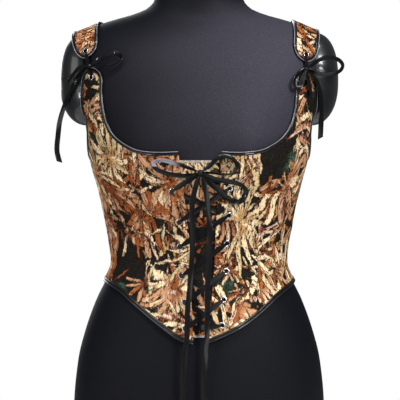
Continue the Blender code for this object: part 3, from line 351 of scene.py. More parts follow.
KNIT_TONES = (           # the form's lower part darker as painted shade, its chest lighter as painted light: between its threads and on them
    ((0.0018, 0.0020, 0.0038), (0.0042, 0.0046, 0.0074)),
    ((0.0290, 0.0270, 0.0375), (0.0480, 0.0445, 0.0600)),
)
jersey = Paint("form_jersey", (0.010, 0.0098, 0.0135), 0.60, Specular_IOR_Level=0.10)
knit_place = own_place(jersey)
knit_cloud = jersey.noise(knit_place, 9.0, 3.0)
knit_grain = jersey.noise(knit_place, 950.0, 1.0)
knit_x, _, knit_up = jersey.apart(knit_place)
knit_shaded, knit_lit = [jersey.mix(jersey.step(knit_grain, 0.35, 0.75), *tones) for tones in KNIT_TONES]
# Painted light and shade: the jersey is lighter towards the right and up the chest, where the light falls, and
# darker low down and on the neck.
painted_light_share = jersey.step(knit_x + 0.18 * knit_up + 0.04 * knit_cloud, -0.070, 0.300)
painted_light_share = painted_light_share * jersey.step(knit_up, 0.22, 0.44) * jersey.step(knit_up - 0.35 * knit_x, 0.590, 0.530)
jersey.colour(jersey.mix(painted_light_share, knit_shaded, knit_lit))
jersey.rough(0.58 + 0.12 * knit_cloud)
jersey.bump(knit_grain, 0.0002, 0.35)

form_body = form_rings(np.linspace(0, NECK_ROUND[0], FORM_RINGS), 0.0)
neck = form_body[-1]
for bend in np.linspace(0, math.pi / 2, 8)[1:]:
    ring = neck.mean(0) + (neck - neck.mean(0)) * (1 - NECK_ROUND[2] * (1 - math.cos(bend)))
    ring[:, 2] = NECK_ROUND[0] + NECK_ROUND[1] * math.sin(bend)
    form_body = np.concatenate([form_body, ring[None]])
dress(hose_of_rings("jersey_form", form_body, jersey.material), "dress_form")


# The shoulder caps. Domed black plastic plugs on the form's arm stumps, polished to a high gloss and cut to
# the curve of the shoulder that they are screwed to.
SIDE = {"left": -1, "right": 1}   # as seen from the front
CAP_CENTRE = (0.150, 0.010, 0.4785)
CAP_HALF = (0.038, 0.048)
CAP_UP, CAP_DOWN = 0.068, 0.058
CAP_SQUARE_UP, CAP_SQUARE_DOWN = 2.6, 2.2
CAP_BLEND = 0.010        # the cloth bridges the crease between the cap and the shoulder
CAP_ROUND, CAP_RINGS, CAP_TURN = 64, 40, 0.485
CUTTER_ENDS = (0.38, 0.60)   # heights that the cutter of the caps reaches
PLASTIC_GAP = 0.0003

gloss = Paint("cap_gloss", (0.008, 0.008, 0.009), 0.30, Specular_IOR_Level=0.40, Coat_Weight=0.42,
              Coat_Roughness=0.08)
handling = gloss.noise(own_place(gloss), 60.0, 4.0)
gloss.rough(0.30 + 0.10 * handling)
gloss.colour(gloss.mix(handling, (0.005, 0.005, 0.006), (0.009, 0.0095, 0.010)))


def cut_away(piece, cutter):
    """The cutter's shape is taken out of a piece."""
    bpy.context.view_layer.objects.active = piece
    cut = piece.modifiers.new("cut", "BOOLEAN")
    cut.operation, cut.solver, cut.object = "DIFFERENCE", "EXACT", cutter
    bpy.ops.object.modifier_apply(modifier=cut.name)


form_cutter = hose_of_rings("form_cutter", form_rings(np.linspace(*CUTTER_ENDS, 70), PLASTIC_GAP),
                            gloss.material)
for name, side in SIDE.items():
    rings = []
    for lift in np.linspace(-CAP_TURN, CAP_TURN, CAP_RINGS) * math.pi:
        up, out = math.sin(lift), math.cos(lift)
        high = CAP_UP if up > 0 else CAP_DOWN
        square = CAP_SQUARE_UP if up > 0 else CAP_SQUARE_DOWN
        z = math.copysign(abs(up) ** (2 / square), up) * high
        turn = np.linspace(0, 2 * math.pi, CAP_ROUND, endpoint=False)
        shrink = out ** (2 / square)
        x = np.sign(np.cos(turn)) * np.abs(np.cos(turn)) ** (2 / square) * CAP_HALF[0] * shrink
        y = np.sign(np.sin(turn)) * np.abs(np.sin(turn)) ** (2 / square) * CAP_HALF[1] * shrink
        rings.append(np.column_stack([side * (CAP_CENTRE[0] + x), CAP_CENTRE[1] + y,
                                      np.full(len(x), CAP_CENTRE[2] + z)]))
    cap = hose_of_rings("gloss_cap_" + name, np.array(rings), gloss.material)
    cut_away(cap, form_cutter)
    cap.data.set_sharp_from_angle(angle=math.radians(40))
    dress(cap, "shoulder_cap_" + name)
bpy.data.objects.remove(form_cutter)


# The tapestry. A jacquard 1.5 mm thick: petals in cream, gold, peach and rust on a black ground, woven in
# threads 0.6 mm apart. The panels are sewn at the princess, side and back seams and lie over the form with
# soft creases, and two rows of stitching hold a bone in the middle of each centre front.
SEAM = 0.0003            # gap between two pieces that are sewn together
TAPESTRY = 0.0015        # thickness of the tapestry
REST = 0.0010            # level of the cloth's inner side where it lies on the form
BRIDGE = 0.0008          # how much higher the straps pass over the top of the shoulder
SHOULDER_TOP = (0.520, 0.535)   # heights between which they rise to that
LACED = 0.0042           # the same beside the front opening, over the modesty panel and the ribbon
LACED_HALF = 0.046       # how far from the centre the cloth stays at that level
LACED_FADE = 0.036       # and how far it then takes to come down to the form
MODESTY = 0.0008         # level of the modesty panel's inner side
MODESTY_THICK = 0.0012
TOP_BINDING = 0.0058     # finished widths of the satin bindings
STRAP_BINDING = 0.0052
HEM_BINDING = 0.0065
BINDING_RISE = 0.0006    # how far a binding stands over the tapestry
BONE_RISE = 0.0006
MODESTY_SIDES = (-0.042, 0.048)
MODESTY_TOP = 0.3720
MODESTY_LOW = (          # x, height of the modesty panel's lower edge, which stays above the hem
    (-0.0420, 0.1540),
    (-0.0220, 0.1385),
    (0.0230, 0.1385),
    (0.0480, 0.1540),
)
AXIS_Y = 0.005           # the line that turns are measured round, 0 at the front and pi/2 at +X
HUB_Y, HUB_Z = 0.012, 0.470   # the line along X that the shoulder straps go round
OPENING = (              # height, distance on the left, distance on the right
    (0.1320, 0.0078, 0.0135),
    (0.1450, 0.0082, 0.0145),
    (0.1890, 0.0094, 0.0172),
    (0.2270, 0.0110, 0.0195),
    (0.2630, 0.0124, 0.0208),
    (0.3000, 0.0162, 0.0227),
    (0.3340, 0.0205, 0.0257),
    (0.3900, 0.0283, 0.0310),
)
NECK_CORNER_Z = 0.3850
TOP_EDGE = (             # distance from the centre line, height: the neckline, the strap's tip, the armhole
    (0.0550, 0.3842),
    (0.0790, 0.3868),
    (0.0925, 0.3925),
    (0.1070, 0.4025),
    (0.1180, 0.4170),
    (0.1245, 0.4370),
    (0.1273, 0.4600),
    (0.1270, 0.4790),
    (0.1305, 0.4900),
    (0.1400, 0.4965),
    (0.1505, 0.4920),
    (0.1560, 0.4800),
    (0.1580, 0.4600),
    (0.1560, 0.4380),
)
UNDERARM = (             # turn, height, on to the side seam
    (1.330, 0.4080),
    (1.440, 0.3870),
)
SIDE_TOP_Z = 0.3790
BACK_ARMHOLE = (         # turn, height, from the side seam up
    (1.720, 0.3830),
    (1.870, 0.4020),
    (2.000, 0.4320),
)
STRAP_ROOT_Z = 0.4600
STRAP = (                # angle over the shoulder, 0 at its top; distances of the two edges
    (-1.45, 0.1010, 0.1370),
    (-1.05, 0.1100, 0.1460),
    (-0.60, 0.1200, 0.1560),
    (-0.15, 0.1280, 0.1640),
    (0.25, 0.1298, 0.1658),
)
TAB = (                  # distance, height, from its outer edge round its end to its inner edge
    (0.1655, 0.5350),
    (0.1635, 0.5210),
    (0.1580, 0.5110),
    (0.1475, 0.5055),
    (0.1370, 0.5110),
    (0.1310, 0.5210),
    (0.1297, 0.5350),
)
STRAP_SHIFT = {"left": 0.0045, "right": -0.0045}   # the two shoulder straps lie a little unevenly
STRAP_LIFT = {"left": 0.0025, "right": -0.0025}
BACK_NECK = (            # turn, height, from the strap down to the centre back
    (2.300, 0.4420),
    (2.560, 0.4270),
    (2.850, 0.4180),
)
BACK_NECK_Z = 0.4150
CENTRE_BACK = math.pi - 0.0020   # turns of the edges at the centre back and on both sides of the side seam
SIDE_FRONT_END = math.pi / 2 - 0.0012
SIDE_BACK_START = math.pi / 2 + 0.0012
HEM = (                  # distance, height on the left, height on the right
    (0.0100, 0.1285, 0.1290),
    (0.0253, 0.1335, 0.1350),
    (0.0453, 0.1470, 0.1440),
    (0.0653, 0.1625, 0.1560),
    (0.0880, 0.1815, 0.1740),
    (0.1060, 0.1975, 0.1910),
)
HEM_SIDE_Z = 0.2120
HEM_BACK_Z = 0.2020
PRINCESS = (             # height, distance on the left, distance on the right
    (0.1500, 0.0630, 0.0740),
    (0.1800, 0.0645, 0.0760),
    (0.2430, 0.0700, 0.0775),
    (0.3100, 0.0745, 0.0790),
    (0.3950, 0.0810, 0.0810),
)
EYELETS = (              # left height, left distance, right height, right distance
    (0.3320, 0.0350, 0.3355, 0.0405),
    (0.2912, 0.0255, 0.2998, 0.0395),
    (0.2585, 0.0250, 0.2625, 0.0370),
    (0.2198, 0.0228, 0.2258, 0.0357),
    (0.1845, 0.0186, 0.1885, 0.0324),
    (0.1500, 0.0180, 0.1545, 0.0307),
)
TIP_EYELET = (0.1432, 0.4835)   # distance, height
TAB_EYELET = (0.1472, 0.5165)


def torso_field(p):
    """Roughly the distance outside the torso."""
    half, front, back, centre, square = section(p[..., 2])
    x, y = p[..., 0], p[..., 1] - centre
    depth = np.where(y < 0, front + bust(x, p[..., 2]), back)
    ratio = (np.abs(x / half) ** square + np.abs(y / depth) ** square) ** (1 / square)
    return np.hypot(x, y) * (1 - 1 / np.maximum(ratio, 1e-6))


def cap_field(p):
    """Roughly the distance outside the shoulder cap of p's own side."""
    x = np.abs(p[..., 0]) - CAP_CENTRE[0]
    y, z = p[..., 1] - CAP_CENTRE[1], p[..., 2] - CAP_CENTRE[2]
    high = np.where(z > 0, CAP_UP, CAP_DOWN)
    square = np.where(z > 0, CAP_SQUARE_UP, CAP_SQUARE_DOWN)
    ratio = np.abs(x / CAP_HALF[0]) ** square + np.abs(y / CAP_HALF[1]) ** square
    ratio = (ratio + np.abs(z / high) ** square) ** (1 / square)
    return np.sqrt(x * x + y * y + z * z) * (1 - 1 / np.maximum(ratio, 1e-6))


def field(p):
    """What carries the cloth: the torso and the caps, with the crease between them bridged."""
    torso, cap = torso_field(p), cap_field(p)
    overlap = np.maximum(CAP_BLEND - np.abs(torso - cap), 0) / CAP_BLEND
    return np.minimum(torso, cap) - overlap * overlap * CAP_BLEND / 4


def gradient(p):
    """Which way and how fast the field grows."""
    step = 1e-4
    slopes = []
    for axis in np.eye(3) * step:
        slopes.append((field(p + axis) - field(p - axis)) / (2 * step))
    return np.stack(slopes, -1)


def unit(v):
    """Directions at a length of 1."""
    return v / np.linalg.norm(v, axis=-1, keepdims=True)


def normals(p):
    return unit(gradient(p))


def level_of(p):
    """Distance outside the surface that carries the cloth."""
    return field(p) / np.linalg.norm(gradient(p), axis=-1)


def reach(origin, direction, level, least, most):
    """The points along rays that lie at a level, found by halving."""
    near, far = np.full(origin.shape[:-1], least), np.full(origin.shape[:-1], most)
    for _ in range(26):
        middle = (near + far) / 2
        inside = level_of(origin + direction * middle[..., None]) < level
        near, far = np.where(inside, middle, near), np.where(inside, far, middle)
    return origin + direction * near[..., None]


def from_front(x, z, level):
    """Points at a level that stand at x, z seen from the front."""
    x, z = np.broadcast_arrays(np.asarray(x, float), np.asarray(z, float))
    origin = np.stack([x, np.zeros_like(x), z], -1)
    return reach(origin, np.array([0.0, -1.0, 0.0]), level, 0.0, 0.25)


def around(turn, z, level):
    """Points at a level, by their turn round the vertical axis and their height."""
    turn, z = np.broadcast_arrays(np.asarray(turn, float), np.asarray(z, float))
    origin = np.stack([np.zeros_like(z), np.full_like(z, AXIS_Y), z], -1)
    direction = np.stack([np.sin(turn), -np.cos(turn), np.zeros_like(z)], -1)
    return reach(origin, direction, level, 0.02, 0.30)


def over(angle, x, level):
    """Points at a level, by their angle over the shoulder and their x."""
    angle, x = np.broadcast_arrays(np.asarray(angle, float), np.asarray(x, float))
    origin = np.stack([x, np.full_like(x, HUB_Y), np.full_like(x, HUB_Z)], -1)
    direction = np.stack([np.zeros_like(x), -np.sin(angle), np.cos(angle)], -1)
    return reach(origin, direction, level, 0.0, 0.20)


def turn_of(p):
    """Points as their turn round the vertical axis, half a turn at the centre back, and their height."""
    turn = np.arctan2(p[..., 0], AXIS_Y - p[..., 1])
    return np.stack([np.where(turn < -math.pi / 2, turn + 2 * math.pi, turn), p[..., 2]], -1)


def settle(p, level):
    """Points slid along the surface's normals on to a level."""
    for _ in range(5):
        g = gradient(p)
        size = np.linalg.norm(g, axis=-1, keepdims=True)
        p = p - (field(p)[..., None] - np.asarray(level)[..., None] * size) * g / size**2
    return p


def cloth_level(p):
    """Level of the tapestry's inner side: raised beside the laced opening and on top of the shoulder."""
    front = np.where(p[..., 1] < 0, 1.0, 0.0)
    laced = (LACED - REST) * front * fade(np.abs(p[..., 0]), LACED_HALF, LACED_HALF + LACED_FADE)
    return REST + laced + BRIDGE * (1 - fade(p[..., 2], *SHOULDER_TOP))


def curve(points, count):
    """A smooth curve through points, as count points evenly spaced along it."""
    points = np.asarray(points, float)
    before, after = 2 * points[:1] - points[1:2], 2 * points[-1:] - points[-2:-1]
    knots = np.concatenate([before, points, after])
    t = np.linspace(0, 1, 16, endpoint=False)[:, None]
    spans = []
    for a, b, c, d in zip(knots, knots[1:], knots[2:], knots[3:]):
        spans.append(0.5 * (2 * b + (c - a) * t + (2 * a - 5 * b + 4 * c - d) * t * t
                            + (3 * b - a - 3 * c + d) * t**3))
    line = np.concatenate([*spans, points[-1:]])
    return even(line, count)


def way_along(line):
    """How far along a polyline each of its points lies."""
    return np.concatenate([[0], np.cumsum(np.linalg.norm(np.diff(line, axis=0), axis=1))])


def read_off(line, along, places):
    """The rows of a line at some places, where its own rows lie at along."""
    return np.stack([np.interp(places, along, column) for column in line.T], -1)


def even(line, count):
    """A polyline's points, moved to stand evenly along it."""
    along = way_along(line)
    return read_off(line, along, np.linspace(0, along[-1], count))


def frames(line):
    """Each point's direction along a line on the surface, the surface's normal and the way across."""
    along, out = unit(np.gradient(line, axis=0)), normals(line)
    return along, out, unit(np.cross(along, out))


TOP_POINTS, BACK_POINTS, HEM_POINTS = 330, 780, 360   # along the finished edges
COLUMN = {"left": 1, "right": 2}


def placed(points, name):
    """Points worked out at +X, on their own side."""
    return points * np.array([SIDE[name], 1, 1])


def opening_x(name, z):
    return smooth(OPENING, COLUMN[name], z)


def princess_x(name, z):
    return smooth(PRINCESS, COLUMN[name], z)


def edge(controls, count):
    """A smooth line on the surface through some of its points."""
    line = settle(curve(np.concatenate(controls), count), REST)
    return even(line, count)


def front_points(table):
    rows = np.array(table)
    return from_front(rows[:, 0], rows[:, 1], REST)


def turned_points(table):
    rows = np.array(table)
    return around(rows[:, 0], rows[:, 1], REST)


def top_edge(name):
    """The finished upper edge of the fronts: neckline, strap's tip and armhole, to the side seam."""
    corner = float(opening_x(name, np.array([NECK_CORNER_Z]))[0])
    return edge([front_points([(corner, NECK_CORNER_Z), *TOP_EDGE]),
                 turned_points([*UNDERARM, (SIDE_FRONT_END, SIDE_TOP_Z)])], TOP_POINTS)


def back_edge(name):
    """The finished edge from the side seam up the armhole, round the shoulder strap and along the neck."""
    strap, tab = np.array(STRAP), np.array(TAB)
    share = np.linspace(0, 1, len(strap))
    shift, lift = STRAP_SHIFT[name] * share, STRAP_LIFT[name]
    outer = over(strap[:, 0], strap[:, 2] + shift, REST)
    inner = over(strap[::-1, 0], (strap[:, 1] + shift)[::-1], REST)
    front = from_front(tab[:, 0] + STRAP_SHIFT[name], tab[:, 1] + lift, REST)
    return edge([turned_points([(SIDE_BACK_START, SIDE_TOP_Z), *BACK_ARMHOLE]), outer, front, inner,
                 turned_points([*BACK_NECK, (CENTRE_BACK, BACK_NECK_Z)])], BACK_POINTS)


def hem_edge(name):
    """The finished hem, from the opening to the centre back."""
    start = float(opening_x(name, np.array([HEM[0][COLUMN[name]]]))[0])
    xs = np.linspace(start, HEM[-1][0], 9)
    front = from_front(xs, smooth(HEM, COLUMN[name], xs), REST)
    return edge([front, turned_points([(math.pi / 2, HEM_SIDE_Z), (2.3, HEM_BACK_Z + 0.003),
                                       (CENTRE_BACK, HEM_BACK_Z)])], HEM_POINTS)


def shifted(line, distance):
    """A line on the surface moved over it, to the right of its direction."""
    return settle(line + frames(line)[2] * distance, REST)


def meetings(value):
    """Where along a line, counted in its points, a value of each point passes zero."""
    before = np.flatnonzero(value[:-1] * value[1:] < 0)
    return [i + value[i] / (value[i] - value[i + 1]) for i in before]


def between(start, end, share):
    """Places along a line, at shares of the way from one to another."""
    return start + (end - start) * np.asarray(share)


def at(line, places):
    """The points of a line at places counted in its points."""
    return read_off(line, np.arange(len(line)), places)


def on_opening(name, point):
    return from_front(opening_x(name, point[2:3]), point[2:3], REST)[0]


def on_turn(turn, point):
    return around(np.array([turn]), point[2:3], REST)[0]


LOWER_ROWS, UPPER_ROWS, STRAP_ROWS = 84, 46, 90
LOWER_SHARE = np.linspace(0, 1, LOWER_ROWS)
UPPER_SHARE = np.linspace(0, 1, UPPER_ROWS)
STRAP_SHARE = np.linspace(0, 1, STRAP_ROWS)
FRONT_ACROSS = np.linspace(0, 1, 51)
SIDE_ACROSS = np.linspace(0, 1, 41) ** 0.8
BACK_ACROSS = np.linspace(0, 1, 43) ** 1.25
TAB_ACROSS = np.linspace(0, 1, 17)
HALF_TIP = 10.5
BONE_SHARES = (0.420, 0.580)         # the bone's channel, as shares of the centre front's width
BONE_EDGE = 0.045                    # share over which its ridge rises
BONE_STITCH = (0.012, 0.0003)        # half width of a row of stitches as a share, and how deep it draws in
CLOTH_TURN = 0.118                   # metres of cloth to a radian of turn round the body
CLOTH_CUT = {                        # how far each panel's cut lies from the others on the roll of tapestry
    "front_left": (0.460, 0.180), "front_right": (1.050, 0.455), "side_front_left": (0.752, 0.980),
    "side_front_right": (1.936, 0.200), "back_left": (1.655, 0.300), "back_right": (2.330, 0.780),
    "shoulder_strap_left": (0.480, 1.330), "shoulder_strap_right": (1.030, 1.620),
    # The modesty panel's cut sets a dark stretch of the design behind the lacing, where it also stands in for
    # painted shade.
    "modesty_panel": (1.450, 0.950),
}


def top_lines(name):
    """The finished upper edge of the fronts, the panels' edge inside its binding, and their places on it."""
    line = top_edge(name)
    inner = shifted(line, TOP_BINDING)
    inner[0], inner[-1] = on_opening(name, inner[0]), on_turn(SIDE_FRONT_END, inner[-1])
    neck = meetings(inner[:, 0] - princess_x(name, inner[:, 2]))[0]
    tip = int(np.argmax(inner[:, 2]))
    return line, inner, {
        "front": between(0, neck, FRONT_ACROSS),
        "neck": between(neck, tip - HALF_TIP, UPPER_SHARE),
        "tip": between(tip - HALF_TIP, tip + HALF_TIP, SIDE_ACROSS),
        "arm": between(len(line) - 1, tip + HALF_TIP, UPPER_SHARE),
    }


def hem_lines(name):
    """The finished hem, the panels' edge above its binding, and their places on it."""
    line = hem_edge(name)
    inner = shifted(line, -HEM_BINDING)
    inner[0], inner[-1] = on_opening(name, inner[0]), on_turn(CENTRE_BACK, inner[-1])
    princess = meetings(inner[:, 0] - princess_x(name, inner[:, 2]))[0]
    side = meetings(turn_of(inner)[:, 0] - math.pi / 2)[0]
    return line, inner, {
        "front": between(0, princess, FRONT_ACROSS),
        "side": between(princess, side, SIDE_ACROSS),
        "back": between(side, len(line) - 1, BACK_ACROSS),
    }


def back_lines(name):
    """The finished edge of the back and its strap, the panels' edge inside the binding, and their places."""
    line = back_edge(name)
    inner = shifted(line, STRAP_BINDING)
    inner[0], inner[-1] = on_turn(SIDE_BACK_START, inner[0]), on_turn(CENTRE_BACK, inner[-1])
    up, down = meetings(inner[:, 2] - STRAP_ROOT_Z)
    numbers = np.arange(len(line))
    front = np.flatnonzero((inner[:, 1] < HUB_Y) & (numbers > up) & (numbers < down))
    tip = front[int(np.argmin(inner[front, 2]))]
    return line, inner, {
        "arm": between(0, up, UPPER_SHARE),
        "outer": between(up, tip - HALF_TIP, STRAP_SHARE),
        "tab": between(tip - HALF_TIP, tip + HALF_TIP, TAB_ACROSS),
        "inner": between(down, tip + HALF_TIP, STRAP_SHARE),
        "neck": between(len(line) - 1, down, UPPER_SHARE),
    }


def coons(west, east, south, north, across):
    """A grid over a four-sided piece, row by row from its lower edge, from its four edges."""
    u = np.asarray(across)[None, :, None]
    v = np.linspace(0, 1, len(west))[:, None, None]
    ruled = (1 - u) * west[:, None] + u * east[:, None] + (1 - v) * south[None] + v * north[None]
    corners = (1 - v) * ((1 - u) * south[0] + u * south[-1]) + v * ((1 - u) * north[0] + u * north[-1])
    return ruled - corners


SCATTER = 0.85           # how far a flower may lie from the middle of its cell
MORE_PETALS = 4.99       # a flower has up to four more petals than the fewest
OPEN_SIDE = (-0.35, -0.30)   # where a fan of petals ends


def flower_layer(paint, place, cell, petals, length, width, gap):
    """Fans of long pointed petals, one to each cell of a loose scatter. Gives where a petal lies, how far
    along it and across it a place is, and the chances of the petal and of the flower."""
    middle, chance = paint.node("ShaderNodeTexVoronoi", {"voronoi_dimensions": "2D", "feature": "F1"},
                                {"Vector": place, "Scale": 1 / cell, "Randomness": SCATTER},
                                ("Position", "Color"))
    x, y, _ = paint.apart(paint.vector("SUBTRACT", place, middle))
    one, two, three = paint.node("ShaderNodeSeparateColor", {}, {0: chance}, (0, 1, 2))
    away = paint.sum("SQRT", x * x + y * y)
    count = paint.sum("FLOOR", petals + MORE_PETALS * one)
    angle = paint.sum("ARCTAN2", y, x)
    turned = angle * count / (2 * math.pi) + 7 * two
    number = paint.sum("FLOOR", turned)
    wheel = paint.sum("FLOORED_MODULO", number, count)
    petal = paint.node("ShaderNodeTexWhiteNoise", {"noise_dimensions": "2D"},
                       {"Vector": paint.joined(wheel * 3.7, three * 91)}, "Color")
    own, tint, _ = paint.node("ShaderNodeSeparateColor", {}, {0: petal}, (0, 1, 2))
    beside = (turned - number - 0.5) / count * (2 * math.pi) * away
    upright = paint.sum("ABSOLUTE", paint.sum("SINE", angle + 0.9 * (three - 0.5)))
    along = away / (length * (0.34 + 0.40 * own + 0.36 * upright))
    taper = paint.sum("MAXIMUM", 1 - along * along, 0.0)
    half = width * (0.78 + 0.5 * three) * along ** 0.75 * taper ** 0.85
    across = paint.sum("ABSOLUTE", beside) / paint.sum("MAXIMUM", half, 0.0002)
    open_side = paint.sum("COSINE", angle - 40 * three) + 1.3 * own
    there = (1 - paint.step(across, 0.92, 1.03)) * paint.step(own, gap, gap + 0.01)
    there = there * paint.step(open_side, *OPEN_SIDE)
    return there, along, across, beside, own, tint, one, three


def petal_colour(paint, layer, light, other, deep):
    """A petal's colour: deep at its root, one of two light ones further out, streaked along, dark-edged."""
    _, along, across, beside, own, tint, _, three = layer
    streaks = paint.noise(paint.joined(beside * 470, along * 1.6, own * 37 + three * 11), 1.0, 3.0, 0.65)
    tip = paint.mix(paint.step(tint, 0.60, 0.64), light, other)
    body = paint.mix(paint.step(along + 0.9 * streaks, 0.55, 0.85), deep, tip)
    body = paint.mix(paint.step(streaks, 0.55, 0.58) * 0.7, body, deep)
    body = paint.mix(paint.step(streaks, 0.605, 0.625) * 0.95, body, UMBER)
    body = paint.mix(paint.step(streaks, 0.37, 0.34) * 0.5, body, CREAM)
    return paint.mix(paint.step(across + 0.30 * streaks, 0.82, 0.92) * 0.97, body, UMBER)


CREAM, KHAKI, GOLD = (0.86, 0.66, 0.41), (0.66, 0.50, 0.28), (0.47, 0.26, 0.105)
PEACH, PINK, EMBER = (0.52, 0.28, 0.155), (0.70, 0.46, 0.35), (0.31, 0.088, 0.024)
RUST, BROWN, UMBER = (0.16, 0.042, 0.016), (0.050, 0.020, 0.011), (0.011, 0.006, 0.004)
NIGHT, MOSS, TEAL = (0.0080, 0.0066, 0.0055), (0.020, 0.034, 0.020), (0.070, 0.125, 0.090)
ASH = (0.050, 0.052, 0.046)
THREAD = 0.00062
DARK_EVERY = (0.290, 0.600)        # from one dark stretch of the design to the next, across and up

tapestry = Paint("tapestry", (0.30, 0.20, 0.12), 0.90, Specular_IOR_Level=0.04)
u, v, _ = tapestry.apart(cloth_place(tapestry))
warp, weft = u / THREAD, v / THREAD
column, row = tapestry.sum("FLOOR", warp), tapestry.sum("FLOOR", weft)
thread = tapestry.joined(column, row)
speck, speck_tint = tapestry.node("ShaderNodeTexWhiteNoise", {"noise_dimensions": "2D"}, {"Vector": thread},
                                  ("Value", "Color"))
woven = tapestry.vector("MULTIPLY", thread, (THREAD, THREAD, 0.0))


def shaken(place, by, reach_u, reach_v):
    """A place moved to and fro by a random colour."""
    return tapestry.vector("ADD", place, tapestry.vector("MULTIPLY", tapestry.vector(
        "SUBTRACT", by, (0.5, 0.5, 0.5)), (reach_u, reach_v, 0.0)))


sway = tapestry.noise(woven, 17.0, 1.0, 0.5, "Color", "2D")
notch = tapestry.noise(woven, 260.0, 1.0, 0.5, "Color", "2D")
drawn = shaken(shaken(shaken(woven, sway, 0.020, 0.030), notch, 0.0022, 0.0036), speck_tint, 0.0008, 0.0012)
hush_u, hush_v, _ = tapestry.apart(drawn)
hush = tapestry.sum("COSINE", hush_u * (2 * math.pi / DARK_EVERY[0]))
hush = hush * tapestry.sum("COSINE", hush_v * (2 * math.pi / DARK_EVERY[1]))
cloud = tapestry.noise(woven, 15.0, 3.0, 0.6, "Fac", "2D")
ground = tapestry.mix(tapestry.step(speck, 0.62, 0.95) * 0.35, NIGHT, ASH)
ground = tapestry.mix(tapestry.step(cloud, 0.58, 0.66) * tapestry.step(speck, 0.25, 0.45), ground, MOSS)
ground = tapestry.mix(tapestry.step(cloud, 0.64, 0.72) * tapestry.step(speck, 0.35, 0.60), ground, TEAL)
ground = tapestry.mix(tapestry.step(cloud, 0.38, 0.30) * tapestry.step(speck, 0.80, 0.90), ground, BROWN)

# The layers of flowers from the lowest up: shift of the scatter, its cell, fewest petals, their length, width
# and share left out; light, other and deep colour, share of plain flowers, whether dark stretches are kept.
LAYERS = (
    ((0.411, 0.173, 0.0), 0.060, 6.0, 0.048, 0.0135, 0.20, EMBER, GOLD, RUST, 0.45, 1.0),
    ((0.013, 0.027, 0.0), 0.029, 4.0, 0.026, 0.0058, 0.38, KHAKI, PINK, BROWN, 0.75, 1.0),
    ((0.737, 0.519, 0.0), 0.086, 15.0, 0.078, 0.0108, 0.14, CREAM, PEACH, EMBER, 0.80, 1.0),
    ((0.271, 0.883, 0.0), 0.112, 13.0, 0.068, 0.0100, 0.22, KHAKI, CREAM, GOLD, 0.72, 1.0),
    ((0.643, 0.337, 0.0), 0.047, 8.0, 0.036, 0.0056, 0.62, CREAM, PINK, RUST, 0.52, 0.0),
)
picture = ground
for shift, cell, petals, length, width, gap, light, other, deep, share, kept in LAYERS:
    layer = flower_layer(tapestry, tapestry.vector("ADD", drawn, shift), cell, petals, length, width, gap)
    plain = petal_colour(tapestry, layer, light, other, deep)
    rusty = petal_colour(tapestry, layer, EMBER, PEACH, RUST)
    tint = tapestry.mix(tapestry.step(layer[6], share - 0.02, share + 0.02), plain, rusty)
    open_cloth = 1 - tapestry.step(hush + 0.22 * layer[4], 0.91, 0.93) * kept
    picture = tapestry.mix(layer[0] * open_cloth, picture, tint)
flecks = tapestry.noise(tapestry.vector("MULTIPLY", drawn, (1.0, 0.36, 0.0)), 330.0, 2.0, 0.6, "Fac", "2D")
picture = tapestry.mix(tapestry.step(flecks, 0.585, 0.625) * 0.94, picture, UMBER)
light_side = (0.66 + 0.62 * speck) * (0.80 + 0.44 * tapestry.noise(woven, 520.0, 1.0))
relief = tapestry.sum("SINE", warp * (2 * math.pi)) + 0.8 * tapestry.sum("SINE", weft * (2 * math.pi))
tapestry.colour(tapestry.node("ShaderNodeVectorMath", {"operation": "SCALE"},
                              {0: picture, "Scale": light_side}))
tapestry.bump(relief, 0.00010, 0.6)


def wall_between(name, inner, outer, finish, flat):
    """A closed wall between two grids of points with the same rows and columns."""
    rows, columns = inner.shape[:2]
    size = rows * columns
    points = np.concatenate([inner.reshape(-1, 3), outer.reshape(-1, 3)])
    faces = []
    for i in range(rows - 1):
        for j in range(columns - 1):
            a, b = i * columns + j, (i + 1) * columns + j
            faces.append((a, b, b + 1, a + 1))
            faces.append((size + a, size + a + 1, size + b + 1, size + b))
    rim = [(0, j) for j in range(columns)] + [(i, columns - 1) for i in range(1, rows)]
    rim += [(rows - 1, j) for j in range(columns - 2, -1, -1)] + [(i, 0) for i in range(rows - 2, 0, -1)]
    for (i, j), (k, m) in zip(rim, rim[1:] + rim[:1]):
        a, b = i * columns + j, k * columns + m
        faces.append((a, b, size + b, size + a))
    return body_of_points(name, points, faces, finish, np.concatenate([flat.reshape(-1, 2)] * 2))


CREASES = (               # across the cloth and up it, in metres to a wave; lean; height in metres
    (0.036, 0.150, 0.4, 0.00045),
    (0.090, 0.034, 1.9, 0.00050),
    (0.021, 0.070, 3.1, 0.00022),
    (0.055, 0.055, 5.0, 0.00040),
)


CALM_SIDES, CALM_ENDS = 0.16, 0.06   # shares of a panel's width and length over which its creases fade out


def creased(flat, share, weight):
    """Uneven soft troughs and ridges over a panel's grid, none along its edges."""
    height = np.zeros(flat.shape[:2])
    for wide_wave, tall_wave, lean, rise in CREASES:
        sway_u = flat[..., 0] / wide_wave + 0.8 * np.sin(flat[..., 1] / 0.045 + lean)
        sway_v = flat[..., 1] / tall_wave + 0.6 * np.sin(flat[..., 0] / 0.038 + 2 * lean)
        height += rise * np.sin(2 * math.pi * (sway_u * 0.5 + sway_v * 0.5) + lean)
    down = np.linspace(0, 1, flat.shape[0])[:, None]
    calm = (1 - fade(share, 0.0, CALM_SIDES)) * (1 - fade(1 - share, 0.0, CALM_SIDES))
    calm = calm * (1 - fade(down, 0.0, CALM_ENDS)) * (1 - fade(1 - down, 0.0, CALM_ENDS))
    return height * calm * weight


